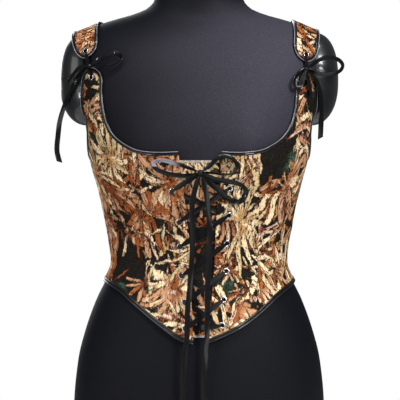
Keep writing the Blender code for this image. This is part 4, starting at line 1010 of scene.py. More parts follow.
def tapestry_panel(label, side, grid, across, flat, rise=0.0, weight=1.0):
    """A panel of tapestry over a grid of points on the surface."""
    node = label + "_" + side
    flat = flat + np.array(CLOTH_CUT[node])
    level = cloth_level(grid) + creased(flat, across[None], weight)
    inner = settle(grid, level)
    outer = inner + normals(inner) * (TAPESTRY + np.broadcast_to(rise, grid.shape[:2]))[..., None]
    piece = wall_between("cloth_" + node, placed(inner, side), placed(outer, side), tapestry.material, flat)
    dress(piece, node)
    step_u = np.linalg.norm(np.diff(inner, axis=1), axis=-1)
    step_v = np.linalg.norm(np.diff(inner, axis=0), axis=-1)
    wide_cut, long_cut = float(step_u.sum(1).max()), float(step_v.sum(0).max())
    a, b = inner[1:, :-1] - inner[:-1, :-1], inner[:-1, 1:] - inner[:-1, :-1]
    c, d = inner[:-1, 1:] - inner[1:, 1:], inner[1:, :-1] - inner[1:, 1:]
    cut = float((np.linalg.norm(np.cross(a, b), axis=-1) + np.linalg.norm(np.cross(c, d), axis=-1)).sum() / 2)
    panels[node] = piece


def turned_grid(edges, across, trim_west, trim_east):
    """A grid between four lines on the surface, drawn in where a seam needs its gap, and its flat places."""
    west, east, south, north = edges
    grid = coons(turn_of(west), turn_of(east), turn_of(south), turn_of(north), across)
    gap = SEAM / 2 / np.linalg.norm(west[0, :2] - [0, AXIS_Y])
    turn = grid[..., 0] + gap * (trim_west * (1 - across) - trim_east * across)
    flat = np.stack([turn * CLOTH_TURN, grid[..., 1]], -1)
    return around(turn, grid[..., 1], REST), flat


def seam_heights(low, high):
    return low[2] + (high[2] - low[2]) * LOWER_SHARE


def hub_angle(p):
    """Points as their angle over the shoulder and their distance from the centre."""
    return np.stack([np.arctan2(HUB_Y - p[..., 1], p[..., 2] - HUB_Z), p[..., 0]], -1)


def bone_rise(share):
    """The bone stands up between two rows of stitching, which draw the cloth in."""
    low, high = BONE_SHARES
    inside = (1 - fade(share, low, low + BONE_EDGE)) * fade(share, high - BONE_EDGE, high)
    half, depth = BONE_STITCH
    stitched = np.exp(-((share - low) / half) ** 2) + np.exp(-((share - high) / half) ** 2)
    return BONE_RISE * inside - depth * stitched


lines = {}
panels = {}
for name in SIDE:
    top, rear, hem = top_lines(name), back_lines(name), hem_lines(name)
    lines[name] = {"binding_top": top, "binding_back": rear, "binding_hem": hem}

    south, north = at(hem[1], hem[2]["front"]), at(top[1], top[2]["front"])
    west_z, east_z = seam_heights(south[0], north[0]), seam_heights(south[-1], north[-1])
    west = from_front(opening_x(name, west_z), west_z, REST)
    east = from_front(princess_x(name, east_z), east_z, REST)
    grid, flat = turned_grid((west, east, south, north), FRONT_ACROSS, 0, 1)
    calm = 1 - fade(FRONT_ACROSS[None], 0.62, 0.80)
    tapestry_panel("front", name, grid, FRONT_ACROSS, flat, bone_rise(FRONT_ACROSS[None]), calm)
    lines[name]["front_grid"] = grid

    south, north = at(hem[1], hem[2]["side"]), at(top[1], top[2]["tip"])
    neck, arm = at(top[1], top[2]["neck"]), at(top[1], top[2]["arm"])
    west_z, east_z = seam_heights(south[0], neck[0]), seam_heights(south[-1], arm[0])
    west = from_front(princess_x(name, west_z), west_z, REST)
    east = around(np.full(LOWER_ROWS, SIDE_FRONT_END), east_z, REST)
    edges = (np.concatenate([west, neck[1:]]), np.concatenate([east, arm[1:]]), south, north)
    grid, flat = turned_grid(edges, SIDE_ACROSS, 1, 0)
    low_part = fade(grid[..., 2], 0.405, 0.435)
    tapestry_panel("side_front", name, grid, SIDE_ACROSS, flat, 0.0, 0.15 + 0.85 * low_part)

    south = at(hem[1], hem[2]["back"])
    arm, neck = at(rear[1], rear[2]["arm"]), at(rear[1], rear[2]["neck"])
    west_z, east_z = seam_heights(south[0], arm[0]), seam_heights(south[-1], neck[0])
    west = around(np.full(LOWER_ROWS, SIDE_BACK_START), west_z, REST)
    east = around(np.full(LOWER_ROWS, CENTRE_BACK), east_z, REST)
    first, last = turn_of(arm[-1])[0], turn_of(neck[-1])[0]
    north = around(between(first, last, BACK_ACROSS), STRAP_ROOT_Z, REST)
    edges = (np.concatenate([west, arm[1:]]), np.concatenate([east, neck[1:]]), south, north)
    grid, flat = turned_grid(edges, BACK_ACROSS, 0, 0)
    tapestry_panel("back", name, grid, BACK_ACROSS, flat)

    outer, inner = at(rear[1], rear[2]["outer"]), at(rear[1], rear[2]["inner"])
    north = at(rear[1], rear[2]["tab"])
    first, last = turn_of(outer[0])[0], turn_of(inner[0])[0]
    root = around(between(first, last, TAB_ACROSS), STRAP_ROOT_Z + SEAM, REST)
    outer[0], inner[0] = root[0], root[-1]
    grid = coons(hub_angle(outer), hub_angle(inner), hub_angle(root), hub_angle(north), TAB_ACROSS)
    flat = np.stack([grid[..., 1], grid[..., 0] * 0.090], -1)
    tapestry_panel("shoulder_strap", name, over(grid[..., 0], grid[..., 1], REST), TAB_ACROSS, flat, 0.0, 0.3)

modesty_x = np.linspace(*MODESTY_SIDES, 31)[None]
modesty_low = smooth(MODESTY_LOW, 1, modesty_x)
modesty_z = modesty_low + (MODESTY_TOP - modesty_low) * np.linspace(0, 1, 81)[:, None]
modesty_inner = from_front(modesty_x, modesty_z, MODESTY)
modesty_outer = modesty_inner + normals(modesty_inner) * MODESTY_THICK
modesty_flat = np.stack(np.broadcast_arrays(modesty_x, modesty_z), -1) + np.array(CLOTH_CUT["modesty_panel"])
modesty = wall_between("cloth_modesty_panel", modesty_inner, modesty_outer, tapestry.material, modesty_flat)
dress(modesty, "modesty_panel")


# The eyelets. Two-part brass eyelets plated in a silver colour and set through the tapestry, six beside each
# edge of the opening, one in each strap tip and one in each tab. Each rim is rolled and slightly scratched.
EYELET_OUTER = 0.0044
EYELET_INNER = 0.0027
EYELET_THICK = 0.0008
EYELET_LIFT = 0.00045    # its gap to the tapestry
RIM_MIDDLE, RIM_FLAT = 0.45, 0.62   # share of its thickness at its middle, and of a round rim's height
HOLE = 0.0031
PEG = 0.006              # how far a hole's cutter reaches either way
HOLE_SIDES = 32


def eyelet_places(name):
    """Each eyelet's name, its distance from the centre and its height."""
    first = 0 if name == "left" else 2
    rows = [("eyelet_%s_%d" % (name, i + 1), row[first + 1], row[first]) for i, row in enumerate(EYELETS)]
    rows.append(("eyelet_tip_" + name, *TIP_EYELET))
    rows.append(("eyelet_tab_" + name, TAB_EYELET[0] + STRAP_SHIFT[name], TAB_EYELET[1] + STRAP_LIFT[name]))
    return rows


def round_frame(x, z):
    """The middle of an eyelet on the tapestry's outer side, the normal and two ways across."""
    on_form = from_front(x, z, REST)
    centre = from_front(x, z, cloth_level(on_form) + TAPESTRY)
    out = normals(centre)
    right = unit(np.cross([0.0, 0.0, 1.0], out))
    return centre, out, right, np.cross(out, right)


def ring_points(spot, radius, lift, sides):
    centre, out, right, up = spot
    turn = np.linspace(0, 2 * math.pi, sides, endpoint=False)[:, None]
    return centre + out * lift + (right * np.cos(turn) + up * np.sin(turn)) * radius


def hole_cutter(name, side, places):
    """Hidden pegs that cut the eyelet holes of one panel."""
    shape = bmesh.new()
    for x, z in places:
        spot = round_frame(x, z)
        ends = [placed(ring_points(spot, HOLE, lift, HOLE_SIDES), side) for lift in (-PEG, PEG)]
        low, high = [[shape.verts.new(p) for p in end] for end in ends]
        for i in range(len(low)):
            k = (i + 1) % len(low)
            shape.faces.new((low[i], low[k], high[k], high[i]))
        shape.faces.new(low[::-1])
        shape.faces.new(high)
    bmesh.ops.recalc_face_normals(shape, faces=shape.faces)
    mesh = bpy.data.meshes.new(name)
    shape.to_mesh(mesh)
    shape.free()
    made = bpy.data.objects.new(name, mesh)
    bpy.context.scene.collection.objects.link(made)
    return made


def shaped(name, finish, move):
    """The active round shape takes its name and finish, and a function moves its points."""
    made = bpy.context.object
    made.name = made.data.name = name
    spots = np.zeros(len(made.data.vertices) * 3, np.float32)
    made.data.vertices.foreach_get("co", spots)
    spots = move(spots.reshape(-1, 3).astype(float))
    made.data.vertices.foreach_set("co", spots.astype(np.float32).ravel())
    made.data.shade_smooth()
    made.data.materials.append(finish)
    return made


metal = Paint("eyelet_metal", (0.60, 0.59, 0.57), 0.28, Metallic=1.0)
scuffs = metal.noise(own_place(metal), 1400.0, 4.0, 0.7)
metal.rough(0.12 + 0.22 * scuffs)
metal.colour(metal.mix(metal.step(scuffs, 0.45, 0.75), (0.62, 0.61, 0.59), (0.28, 0.27, 0.26)))
metal.bump(scuffs, 0.00005, 0.4)



def rolled_rim(spots, centre, out, right, up):
    """A ring's points, set on the tapestry and pressed a little flat."""
    lifted = EYELET_LIFT + EYELET_THICK * RIM_MIDDLE + spots[:, 2:] * RIM_FLAT
    return centre + right * spots[:, :1] + up * spots[:, 1:2] + out * lifted


for name in SIDE:
    places = eyelet_places(name)
    holed = (("front_" + name, places[:-2]), ("side_front_" + name, places[-2:-1]),
             ("shoulder_strap_" + name, places[-1:]))
    for node, rows in holed:
        pegs = hole_cutter("pegs_" + node, name, [(x, z) for _, x, z in rows])
        cut_away(panels[node], pegs)
        bpy.data.objects.remove(pegs)
    for node, x, z in places:
        spot = round_frame(x, z)
        bpy.ops.object.select_all(action="DESELECT")
        bpy.ops.mesh.primitive_torus_add(major_segments=36, minor_segments=12,
                                         major_radius=(EYELET_INNER + EYELET_OUTER) / 2,
                                         minor_radius=(EYELET_OUTER - EYELET_INNER) / 2)
        ring = shaped("ring_" + node, metal.material, lambda spots: placed(rolled_rim(spots, *spot), name))
        if SIDE[name] < 0:
            ring.data.flip_normals()
        dress(ring, node)


# The bindings. Bias strips of black satin folded over the raw edges and stitched down, with a rolled outer
# edge that catches the light and carries a painted highlight line, and a fine row of stitching along the sewn
# one.
SHEEN_LINE = 0.00115     # from a binding's outer edge to the middle of the painted highlight line on its rolled edge
TWILL = 0.0007           # from one line of the satin's twill to the next
PUCKER = (0.00010, 0.0021, 0.0173)   # height of the binding's short puckers, and two lengths that shape them
SWELL = (0.00008, 0.0068)            # height of its long ones, and their length
BINDING_TOP = TAPESTRY + BINDING_RISE
FOLD = (                 # share of the binding's width from its sewn edge, level of the satin there
    (0.06, 0),
    (0.06, BINDING_TOP - 0.0006),
    (0.11, BINDING_TOP - 0.0001),
    (0.24, BINDING_TOP + 0.0001),
    (0.38, BINDING_TOP),
    (0.48, BINDING_TOP - 0.0003),
    (0.54, BINDING_TOP - 0.0007),
    (0.59, BINDING_TOP - 0.0003),
    (0.68, BINDING_TOP + 0.0003),
    (0.79, BINDING_TOP + 0.0006),
    (0.89, BINDING_TOP + 0.0003),
    (0.96, BINDING_TOP - 0.0005),
    (1.0, BINDING_TOP - 0.0015),
    (1.0, 0),
)
BINDINGS = ("binding_top", "binding_back", "binding_hem")
BINDING_STEP = 0.72      # points along a binding for each point of its line

satin = Paint("black_satin", (0.004, 0.004, 0.0045), 0.40, Specular_IOR_Level=0.12, Coat_Weight=0.50,
              Coat_Roughness=0.07)
along_u, across_v, _ = satin.apart(cloth_place(satin))
bias = satin.sum("SINE", (along_u + across_v) * (2 * math.pi / TWILL))
slub = satin.noise(satin.joined(along_u * 55, across_v * 700), 1.0, 3.0)
_, _, satin_up = satin.apart(own_place(satin))
# Painted highlight: a pale line along each binding's rolled edge, faint low down on the hem binding.
painted_sheen_line = satin.step(satin.sum("ABSOLUTE", across_v - SHEEN_LINE), 0.00065, 0.00030)
painted_sheen_line = painted_sheen_line * (0.08 + 0.92 * satin.step(satin_up, 0.22, 0.34)) * satin.step(slub, 0.15, 0.60)
plain_satin = satin.mix(slub, (0.0020, 0.0020, 0.0024), (0.0055, 0.0055, 0.0062))
satin.colour(satin.mix(painted_sheen_line, plain_satin, (0.21, 0.21, 0.225)))
satin.rough(0.34 + 0.16 * slub)
satin.bump(0.25 * bias + slub, 0.00014, 0.4)


def binding_lines(name, label, spare, step):
    """A binding's finished edge and its sewn one, cut off by spare points at both ends."""
    whole, sewn, parts = lines[name][label]
    ends = np.concatenate([np.ravel(values) for values in parts.values()])
    places = np.linspace(ends.min() + spare, ends.max() - spare, int((ends.max() - ends.min()) * step))
    return at(whole, places), at(sewn, places)


for name in SIDE:
    for label in BINDINGS:
        finished, inside = binding_lines(name, label, 0, BINDING_STEP)
        width = np.linalg.norm(finished - inside, axis=1, keepdims=True)
        gone = way_along(finished)
        pucker = PUCKER[0] * np.sin(gone / PUCKER[1]) * np.sin(gone / PUCKER[2])
        level = cloth_level(finished) + (pucker + SWELL[0] * np.sin(gone / SWELL[1]))
        rings, flat = [], []
        for share, lift in FOLD:
            rings.append(settle(inside + (finished - inside) * share, level + lift))
            flat.append(np.column_stack([gone, np.full(len(gone), (1 - share) * float(width.mean()))]))
        rings, flat = np.stack(rings, 1), np.stack(flat, 1).reshape(-1, 2)
        piece = hose_of_rings("satin_" + label + "_" + name, placed(rings, name), satin.material, flat, 70)
        dress(piece, label + "_" + name)


# The stitching. Polyester thread: black along the bindings' sewn edges and beside the bones, and white zigzag
# over the modesty panel's cut ends. Each stitch is a short rounded bar that dips into the cloth at its ends.
STITCH, STITCH_GAP, THREAD_THICK = 0.0021, 0.0008, 0.00034
SEWN_AT = 0.20           # share of a binding's width from its sewn edge to its stitches
BONE_SINK = 0.0002       # how deep the stitches beside a bone draw in
SERGE_STEP, SERGE_RADIUS, SERGE_LIFT = 0.0008, 0.00050, 0.0006
BAR_SIDES, SERGE_SIDES = 5, 6
BAR = (                  # share along a stitch, lift and thickness of it in threads
    (0.0, -0.3, 0.55),
    (0.18, 0.55, 1.0),
    (0.5, 0.8, 1.0),
    (0.82, 0.55, 1.0),
    (1.0, -0.3, 0.55),
)

cotton = Paint("dark_thread", (0.012, 0.011, 0.011), 0.6)
twist = cotton.sum("SINE", cotton.apart(own_place(cotton))[2] * 9000)
cotton.colour(cotton.mix(0.5 + 0.5 * twist, (0.008, 0.008, 0.008), (0.030, 0.028, 0.027)))
serge = Paint("white_thread", (0.80, 0.78, 0.72), 0.65)
serge_twist = serge.sum("SINE", serge.apart(own_place(serge))[0] * 7000)
serge.colour(serge.mix(0.5 + 0.5 * serge_twist, (0.78, 0.76, 0.70), (0.92, 0.90, 0.86)))


def bar_rings(spine, radius, sides):
    """Rings of points round a line on the surface."""
    _, out, across = frames(spine)
    rings = []
    for turn in 2 * math.pi * np.arange(sides) / sides:
        rings.append(spine + (across * math.cos(turn) + out * math.sin(turn)) * radius)
    return np.stack(rings, 1)


def stitch_row(name, line, level, side):
    """A row of stitches along a line on the surface, as one piece."""
    gone = way_along(line)
    starts = np.arange(STITCH_GAP, gone[-1] - STITCH, STITCH + STITCH_GAP)
    steps = np.array([start + share * STITCH for start in starts for share, _, _ in BAR])
    spots = read_off(line, gone, steps)
    levels = np.interp(steps, gone, level)
    rise = np.tile([lift for _, lift, _ in BAR], len(starts)) * THREAD_THICK
    thick = np.tile([size for _, _, size in BAR], len(starts)) * THREAD_THICK / 2
    spots = settle(spots, levels + rise)
    points = placed(bar_rings(spots, thick[:, None], BAR_SIDES).reshape(-1, 3), side)
    size = BAR_SIDES * len(BAR)
    faces = []
    for number in range(len(starts)):
        for i in range(len(BAR) - 1):
            start = number * size + i * BAR_SIDES
            for j in range(BAR_SIDES):
                a, b = start + j, start + (j + 1) % BAR_SIDES
                faces.append((a, b, b + BAR_SIDES, a + BAR_SIDES))
        faces.append(tuple(range(number * size, number * size + BAR_SIDES))[::-1])
        faces.append(tuple(range((number + 1) * size - BAR_SIDES, (number + 1) * size)))
    piece = body_of_points(name, points, faces, cotton.material)
    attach(piece, "root")


for name in SIDE:
    for label in BINDINGS:
        finished, inside = binding_lines(name, label, 1, 1)
        row = inside + (finished - inside) * SEWN_AT
        level = cloth_level(row) + TAPESTRY + BINDING_RISE
        stitch_row("stitches_" + label + "_" + name, row, level, name)
    for number, share in enumerate(BONE_SHARES):
        spot = int(round(share * (len(FRONT_ACROSS) - 1)))
        row = lines[name]["front_grid"][2:-2, spot]
        level = cloth_level(row) + TAPESTRY - BONE_SINK
        stitch_row("stitches_bone_%s_%d" % (name, number + 1), row, level, name)

ZIGZAG = (                # name, height of its middle, left end, right end, half height
    ("serge_top", 0.3706, -0.0245, 0.0265, 0.0015),
    ("serge_bottom", 0.1400, -0.0060, 0.0118, 0.0015),
)
for name, z, left, right, half in ZIGZAG:
    xs = np.arange(left, right, SERGE_STEP)
    zs = z + half * np.where(np.arange(len(xs)) % 2 == 0, 1, -1)
    spine = from_front(xs, zs, MODESTY + MODESTY_THICK + SERGE_LIFT)
    piece = hose_of_rings(name, bar_rings(spine, SERGE_RADIUS, SERGE_SIDES), serge.material)
    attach(piece, "root")


# The ribbons. Black satin ribbon 7 mm wide. One length laces the opening and ends in a bow with two long
# tails; one short length ties each tab to its strap tip. The ends are cut on a slant.
RIBBON = 0.0070          # width of the satin ribbon
RIBBON_THICK = 0.0008
KNOT = 0.0040            # radius of the front knot
KNOT_PLACE = (0.0020, 0.3560, 0.0105)
TIE_KNOTS = {"left": (0.1460, 0.4985, 0.0080), "right": (0.1427, 0.4940, 0.0084)}
TIE_KNOT = 0.0031
KNOT_GAP = 0.0005        # from a knot to the ribbons that leave it
PINCH = 0.0016           # width of a ribbon where it enters a knot
PINCH_LENGTH = 0.012
RIB = 0.0006             # from one rib of the ribbon's weave to the next
KNOT_WAIST = 0.30        # half width of a knot's middle turn, as a share of its radius
KNOT_FOLDS = 7
KNOT_SHAPE = (1.05, 0.86, 0.88)
INTO_KNOT = 0.7          # share of a knot's radius at which a ribbon leaves it
WAVES = (0.021, 0.053)   # lengths that shape how a loose ribbon turns to and fro
HALF_THICK = 0.32        # share of a ribbon's thickness from its middle to a face, as it is worn thin
CURL = 0.05              # how far a loose ribbon's middle stands out, as a share of its width

# The middle lines of the loops and free ends, from the knot on: x, height, level over the form and lean in
# degrees. A level below 0 is y instead, where the ribbon hangs free.
BOW_LOOPS = {
    "bow_loop_left": (
        (-0.0024, 0.3586, 0.0114, 50), (-0.0120, 0.3615, 0.0118, 50), (-0.0280, 0.3669, 0.0121, 48),
        (-0.0440, 0.3713, 0.0118, 45), (-0.0547, 0.3718, 0.0114, 40), (-0.0600, 0.3665, 0.0112, 35),
        (-0.0547, 0.3600, 0.0112, 35), (-0.0413, 0.3547, 0.0114, 38), (-0.0253, 0.3520, 0.0116, 40),
        (-0.0120, 0.3522, 0.0116, 40), (-0.0030, 0.3545, 0.0112, 40),
    ),
    "bow_loop_right": (
        (0.0060, 0.3592, 0.0114, 50), (0.0147, 0.3655, 0.0118, 48), (0.0240, 0.3745, 0.0119, 42),
        (0.0347, 0.3776, 0.0118, 38), (0.0453, 0.3733, 0.0116, 38), (0.0500, 0.3640, 0.0116, 38),
        (0.0455, 0.3560, 0.0116, 38), (0.0350, 0.3535, 0.0118, 42), (0.0213, 0.3550, 0.0120, 45),
        (0.0072, 0.3572, 0.0118, 45),
    ),
    "bow_loop_low": (
        (0.0056, 0.3522, 0.0094, 80), (0.0135, 0.3432, 0.0096, 84), (0.0253, 0.3335, 0.0099, 87),
        (0.0360, 0.3240, 0.0097, 86), (0.0440, 0.3187, 0.0090, 76), (0.0520, 0.3173, 0.0086, 64),
        (0.0593, 0.3227, 0.0088, 57), (0.0620, 0.3307, 0.0088, 57), (0.0580, 0.3380, 0.0088, 64),
        (0.0480, 0.3425, 0.0090, 80), (0.0350, 0.3450, 0.0094, 88), (0.0200, 0.3475, 0.0098, 86),
        (0.0066, 0.3548, 0.0096, 82),
    ),
}
BOW_TAILS = {
    "bow_tail_left": (
        (0.0004, 0.3512, -0.1195, 90), (-0.0042, 0.3380, -0.1212, 84), (-0.0090, 0.3120, -0.1208, 76),
        (-0.0082, 0.2660, -0.1196, 88), (-0.0120, 0.2067, -0.1182, 100), (-0.0153, 0.1733, -0.1178, 92),
        (-0.0160, 0.1387, -0.1172, 80), (-0.0200, 0.1000, -0.1166, 88), (-0.0214, 0.0440, -0.1160, 96),
    ),
    "bow_tail_right": (
        (0.0036, 0.3512, -0.1195, 90), (0.0082, 0.3360, -0.1214, 98), (0.0135, 0.2960, -0.1206, 104),
        (0.0142, 0.2660, -0.1196, 92), (0.0112, 0.2067, -0.1184, 82), (0.0107, 0.1600, -0.1176, 94),
        (0.0102, 0.1270, -0.1170, 104), (0.0070, 0.0950, -0.1164, 92), (0.0052, 0.0440, -0.1160, 84),
    ),
}
TIE_LOOPS = {
    "tie_loop_left": (
        (0.1425, 0.5000, 0.0085, 45), (0.1320, 0.5067, 0.0085, 45), (0.1213, 0.5127, 0.0080, 45),
        (0.1107, 0.5147, 0.0075, 42), (0.1033, 0.5107, 0.0070, 40), (0.1053, 0.5040, 0.0070, 40),
        (0.1160, 0.4985, 0.0078, 42), (0.1293, 0.4962, 0.0086, 45), (0.1423, 0.4970, 0.0085, 45),
    ),
    "tie_loop_right": (
        (0.1456, 0.4962, -0.0648, 45), (0.1600, 0.5060, -0.0760, 45), (0.1733, 0.5095, -0.0680, 45),
        (0.1860, 0.5062, -0.0590, 42), (0.1915, 0.4987, -0.0530, 40), (0.1853, 0.4905, -0.0560, 40),
        (0.1693, 0.4870, -0.0640, 45), (0.1547, 0.4885, -0.0720, 45), (0.1460, 0.4924, -0.0648, 45),
    ),
    "tie_loop_small_right": (
        (0.1393, 0.4928, 0.0085, 50), (0.1330, 0.4880, 0.0085, 48), (0.1275, 0.4813, 0.0082, 42),
        (0.1250, 0.4740, 0.0080, 40), (0.1285, 0.4680, 0.0080, 40), (0.1340, 0.4712, 0.0082, 42),
        (0.1378, 0.4800, 0.0085, 45), (0.1410, 0.4902, 0.0084, 50),
    ),
}
TIE_TAILS = {
    "tie_tail_left": (
        (0.1492, 0.4965, 0.0080, 80), (0.1587, 0.4880, 0.0075, 75), (0.1700, 0.4690, 0.0065, 65),
        (0.1800, 0.4480, -0.0210, 60), (0.1867, 0.4267, -0.0180, 75), (0.1893, 0.4067, -0.0180, 95),
        (0.1907, 0.3867, -0.0200, 85), (0.1872, 0.3710, -0.0200, 75),
    ),
    "tie_end_left": (
        (0.1498, 0.4995, 0.0090, 70), (0.1600, 0.4960, 0.0110, 70), (0.1690, 0.4860, 0.0110, 60),
        (0.1770, 0.4770, 0.0100, 50),
    ),
    "tie_tail_right": (
        (0.1455, 0.4910, 0.0080, 80), (0.1540, 0.4830, 0.0080, 75), (0.1613, 0.4667, 0.0070, 70),
        (0.1640, 0.4400, 0.0060, 80), (0.1635, 0.4220, -0.0260, 90), (0.1627, 0.4027, -0.0250, 80),
    ),
    "tie_end_right": (
        (0.1430, 0.4895, 0.0090, 85), (0.1450, 0.4800, 0.0085, 80), (0.1475, 0.4700, 0.0070, 80),
        (0.1493, 0.4600, 0.0065, 85),
    ),
}


def flat_on(line, across):
    """Directions laid flat on the surface under a line."""
    out = normals(line)
    return across - out * np.sum(across * out, axis=1, keepdims=True)


TURN_OVER = (0.32, 0.68)        # shares of a hop between which the ribbon changes level
LAST_TURN_OVER = (0.45, 0.95)
OVER, UNDER, IN_HOLE = 0.0081, 0.0031, 0.0052   # levels of the lace outside and behind the cloth, and between
HOLE_WIDTH = 0.0026      # width of a ribbon in an eyelet
HOLE_DIP = (0.0002, 0.0018)     # distances from an eyelet's middle between which a ribbon goes down it
LINK_DIP = (0.0002, 0.0013)     # the same for the straps' ties
HOLE_NARROW = (0.001, 0.009)    # and between which it is drawn together
LINK_WIDTH = 0.75 * RIBBON
HOP = (0.0006, 0.0012, 0.0018, 0.0034, 0.0100)


def width_near(near, width):
    """A ribbon's width at a distance from the eyelet that it goes down."""
    return HOLE_WIDTH + (width - HOLE_WIDTH) * (1 - fade(near, *HOLE_NARROW))


def hop(a, b, level_a, level_b, hole_a=True, hole_b=True, turn_over=TURN_OVER):
    """Rows of x, z, level, width and lean for the ribbon from one place to the next."""
    a, b = np.array(a), np.array(b)
    length = float(np.linalg.norm(b - a))
    middle = np.linspace(HOP[-1], length - HOP[-1], 6)[1:-1]
    rows = []
    for d in (0.0, *HOP, *middle, *[length - d for d in reversed(HOP)], length):
        share = d / length
        x, z = a + (b - a) * share
        level = level_a + (level_b - level_a) * (1 - fade(share, *turn_over))
        width = RIBBON
        for near, there in ((d, hole_a), (length - d, hole_b)):
            if there:
                level = level + (IN_HOLE - level) * fade(near, *HOLE_DIP)
                width = min(width, width_near(near, RIBBON))
        tilt = (b - a) / length
        rows.append((x, z, level, width, *((-tilt[1], tilt[0]) if tilt[0] > 0 else (tilt[1], -tilt[0]))))
    return rows


def lace_rows():
    """The ribbon from the knot down through the eyelets on one side and back up on the other."""
    left = [(-row[1], row[0]) for row in EYELETS]
    right = [(row[3], row[2]) for row in EYELETS]
    last = len(EYELETS) - 1
    down = [(left, right)[i % 2][i] for i in range(last + 1)]
    back_up = [(right, left)[i % 2][i] for i in range(last + 1)][::-1]
    places = down + back_up
    middle = np.array(KNOT_PLACE[:2])
    beside = math.sqrt((KNOT + KNOT_GAP) ** 2 - (KNOT_PLACE[2] - OVER) ** 2)
    start, end = [middle + (place - middle) / np.linalg.norm(place - middle) * beside
                  for place in np.array([places[0], places[-1]])]
    rows = hop(start, places[0], OVER, OVER, hole_a=False)
    for i, (a, b) in enumerate(zip(places, places[1:])):
        inside = (i % 2 == 0) == (i < last)
        levels = (OVER, UNDER) if i == last else (UNDER, UNDER) if inside else (OVER, OVER)
        rows += hop(a, b, *levels)[1:]
    rows += hop(places[-1], end, UNDER, OVER, hole_b=False, turn_over=LAST_TURN_OVER)[1:]
    return np.array(rows)


LIT_UP = ((0.3632, 0.3650), (0.388, 0.382))      # heights between which a highlight is painted on the satin of the bow's left loop, and x
LIT_X = ((-0.022, -0.036), (-0.075, -0.070))     # light, and x
ribbon = Paint("black_ribbon", (0.005, 0.005, 0.005), 0.30, Specular_IOR_Level=0.11, Coat_Weight=0.26,
               Coat_Roughness=0.08)
run, aside, _ = ribbon.apart(cloth_place(ribbon))
ribs = ribbon.sum("SINE", run * (2 * math.pi / RIB))
shade = ribbon.noise(ribbon.joined(run * 40, aside * 500), 1.0, 3.0)
edge_of_ribbon = ribbon.step(ribbon.sum("ABSOLUTE", aside), 0.0027, 0.0031)
ribbon_x, _, ribbon_up = ribbon.apart(own_place(ribbon))
# Painted highlight: the upper strand of the bow's left loop is made pale grey-lilac, as satin that catches the
# light.
loop_painted_highlight = ribbon.step(ribbon_up, *LIT_UP[0]) * ribbon.step(ribbon_up, *LIT_UP[1])
loop_painted_highlight = loop_painted_highlight * ribbon.step(ribbon_x, *LIT_X[0]) * ribbon.step(ribbon_x, *LIT_X[1])
loop_painted_highlight = loop_painted_highlight * ribbon.step(shade, 0.20, 0.50)
dull_satin = ribbon.mix(shade, (0.0016, 0.0016, 0.0020), (0.0052, 0.0052, 0.0056))
ribbon.colour(ribbon.mix(loop_painted_highlight, dull_satin, (0.30, 0.29, 0.33)))
ribbon.rough(0.30 + 0.14 * shade + 0.1 * edge_of_ribbon)
ribbon.bump(0.4 * ribs + shade + 0.8 * edge_of_ribbon, 0.00012, 0.35)


def satin_band(name, line, across, widths, curl=0.0, slant=0.0):
    """A flat ribbon along a line, its width along across, a little curled, its last end cut on a slant."""
    along = unit(np.gradient(line, axis=0))
    across = unit(across - along * np.sum(across * along, axis=1, keepdims=True))
    out = np.cross(along, across)
    gone = way_along(line)
    shares = np.linspace(-1, 1, 7)
    rows, flat = [], []
    for face, order in ((-1, shares), (1, shares[::-1])):
        for share in order:
            bow = curl * widths * (1 - share * share)
            spot = line + across * (widths * share / 2)[:, None]
            spot = spot + out * (bow + face * RIBBON_THICK * HALF_THICK)[:, None]
            spot[-1] += along[-1] * slant * share
            rows.append(spot)
            flat.append(np.column_stack([gone, np.full(len(gone), share * RIBBON / 2)]))
    return hose_of_rings(name, np.stack(rows, 1), ribbon.material, np.stack(flat, 1).reshape(-1, 2), 60)


rows = lace_rows()
rows = at(rows, np.linspace(0, len(rows) - 1, 3 * len(rows)))
lace_line = from_front(rows[:, 0], rows[:, 1], rows[:, 2])
lace_across = flat_on(lace_line, np.column_stack([rows[:, 4], np.zeros(len(rows)), rows[:, 5]]))
lace = satin_band("ribbon_lace", lace_line, lace_across, rows[:, 3], 0.03)
dress(lace, "lace")


def loose_ribbon(node, rows, side, tied, loop, count, wave, slant=0.0):
    """A ribbon from a knot along its rows, back into the knot where it is a loop; and its middle line."""
    centre, radius = tied
    rows = np.array(rows)
    free = rows[:, 2] < 0
    on_cloth = from_front(np.where(free, 0, rows[:, 0]), rows[:, 1], np.abs(rows[:, 2]))
    points = np.where(free[:, None], rows[:, [0, 2, 1]], on_cloth)
    for end in (0, -1) if loop else (0,):
        away = points[end] - centre
        points[end] = centre + away / np.linalg.norm(away) * radius * INTO_KNOT
    small = 1e-5
    line = curve(np.column_stack([points, rows[:, 3] * small, free * small]), count)
    lean, freed = np.radians(line[:, 3] / small), line[:, 4:] / small
    line = line[:, :3]
    toward = unit(normals(line) * (1 - freed) + np.array([0.0, -1.0, 0.0]) * freed)
    beside = unit(np.cross(unit(np.gradient(line, axis=0)), toward))
    gone = way_along(line)
    lean = lean + wave * np.sin(gone / WAVES[0]) * np.sin(gone / WAVES[1])
    across = toward * np.cos(lean)[:, None] + beside * np.sin(lean)[:, None]
    near = np.minimum(gone, gone[-1] - gone) if loop else gone
    widths = PINCH + (RIBBON - PINCH) * (1 - fade(near, 0, PINCH_LENGTH))
    turned = np.array([side, 1, 1])
    piece = satin_band("ribbon_" + node, line * turned, across * turned, widths, CURL, slant)
    dress(piece, node)
    return piece, line * turned, float(gone[-1])


def drawn_tight(spots, radius):
    """A ball's points, drawn into the folds of a knot."""
    turn = np.arctan2(spots[:, 1], spots[:, 2])
    waist = np.exp(-(spots[:, 0] / KNOT_WAIST) ** 2)
    folds = 1 + 0.07 * np.cos(KNOT_FOLDS * turn + 3 * spots[:, 0]) * (1 - waist) + 0.10 * waist
    return spots * (radius * folds[:, None] * np.array(KNOT_SHAPE))


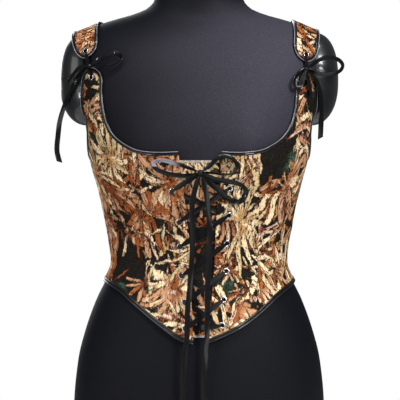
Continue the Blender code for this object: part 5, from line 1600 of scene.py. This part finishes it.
def tied_knot(node, centre, radius, side):
    """A knot: the ribbon drawn into soft folds, with one turn of it across."""
    bpy.ops.object.select_all(action="DESELECT")
    bpy.ops.mesh.primitive_uv_sphere_add(segments=40, ring_count=24, radius=1.0)
    core = shaped("ribbon_" + node, ribbon.material,
                  lambda spots: drawn_tight(spots, radius) + centre * np.array([side, 1, 1]))
    layer = core.data.uv_layers.active
    layer.name = "cloth"
    spread_out = np.zeros(len(core.data.loops) * 2, np.float32)
    layer.data.foreach_get("uv", spread_out)
    layer.data.foreach_set("uv", spread_out * radius * 4)
    dress(core, node)


BOW_LOOP, TIE_LOOP = (90, 0.10), (70, 0.10)                   # points, and how far it turns to and fro
BOW_TAIL, TIE_TAIL = (110, 0.25, 0.0025), (60, 0.15, 0.002)   # the same, and the slant of its cut end


def free_end(node, rows, side, tied, kind):
    """A ribbon's free end, which hangs from its knot."""
    piece, middle, length = loose_ribbon(node, rows, side, tied, False, *kind)


bow = (from_front(*KNOT_PLACE), KNOT)
ties = {name: (from_front(*TIE_KNOTS[name]), TIE_KNOT) for name in SIDE}
tied_knot("bow_knot", *bow, 1)
for node, rows in BOW_LOOPS.items():
    loose_ribbon(node, rows, 1, bow, True, *BOW_LOOP)
for node, rows in BOW_TAILS.items():
    free_end(node, rows, 1, bow, BOW_TAIL)
for name in SIDE:
    tied_knot("tie_knot_" + name, *ties[name], SIDE[name])
for node, rows in TIE_LOOPS.items():
    name = node.rsplit("_", 1)[1]
    loose_ribbon(node, rows, SIDE[name], ties[name], True, *TIE_LOOP)
for node, rows in TIE_TAILS.items():
    name = node.rsplit("_", 1)[1]
    free_end(node, rows, SIDE[name], ties[name], TIE_TAIL)
for name in SIDE:
    tab = np.array(TAB_EYELET) + [STRAP_SHIFT[name], STRAP_LIFT[name]]
    tip = np.array(TIP_EYELET)
    length = float(np.linalg.norm(tip - tab))
    gone = np.linspace(0, length, 60)
    near = np.minimum(gone, length - gone)
    in_hole, over_strap = REST + 0.0012, REST + TAPESTRY + EYELET_LIFT + EYELET_THICK + 0.0010
    level = over_strap + (in_hole - over_strap) * fade(near, *LINK_DIP)
    width = width_near(near, LINK_WIDTH)
    place = tab + (tip - tab) * (gone / length)[:, None]
    line = from_front(place[:, 0], place[:, 1], level)
    across = flat_on(line, np.broadcast_to([1.0, 0.0, 0.0], line.shape))
    link = satin_band("ribbon_tie_link_" + name, placed(line, name), placed(across, name), width, CURL)
    dress(link, "tie_link_" + name)
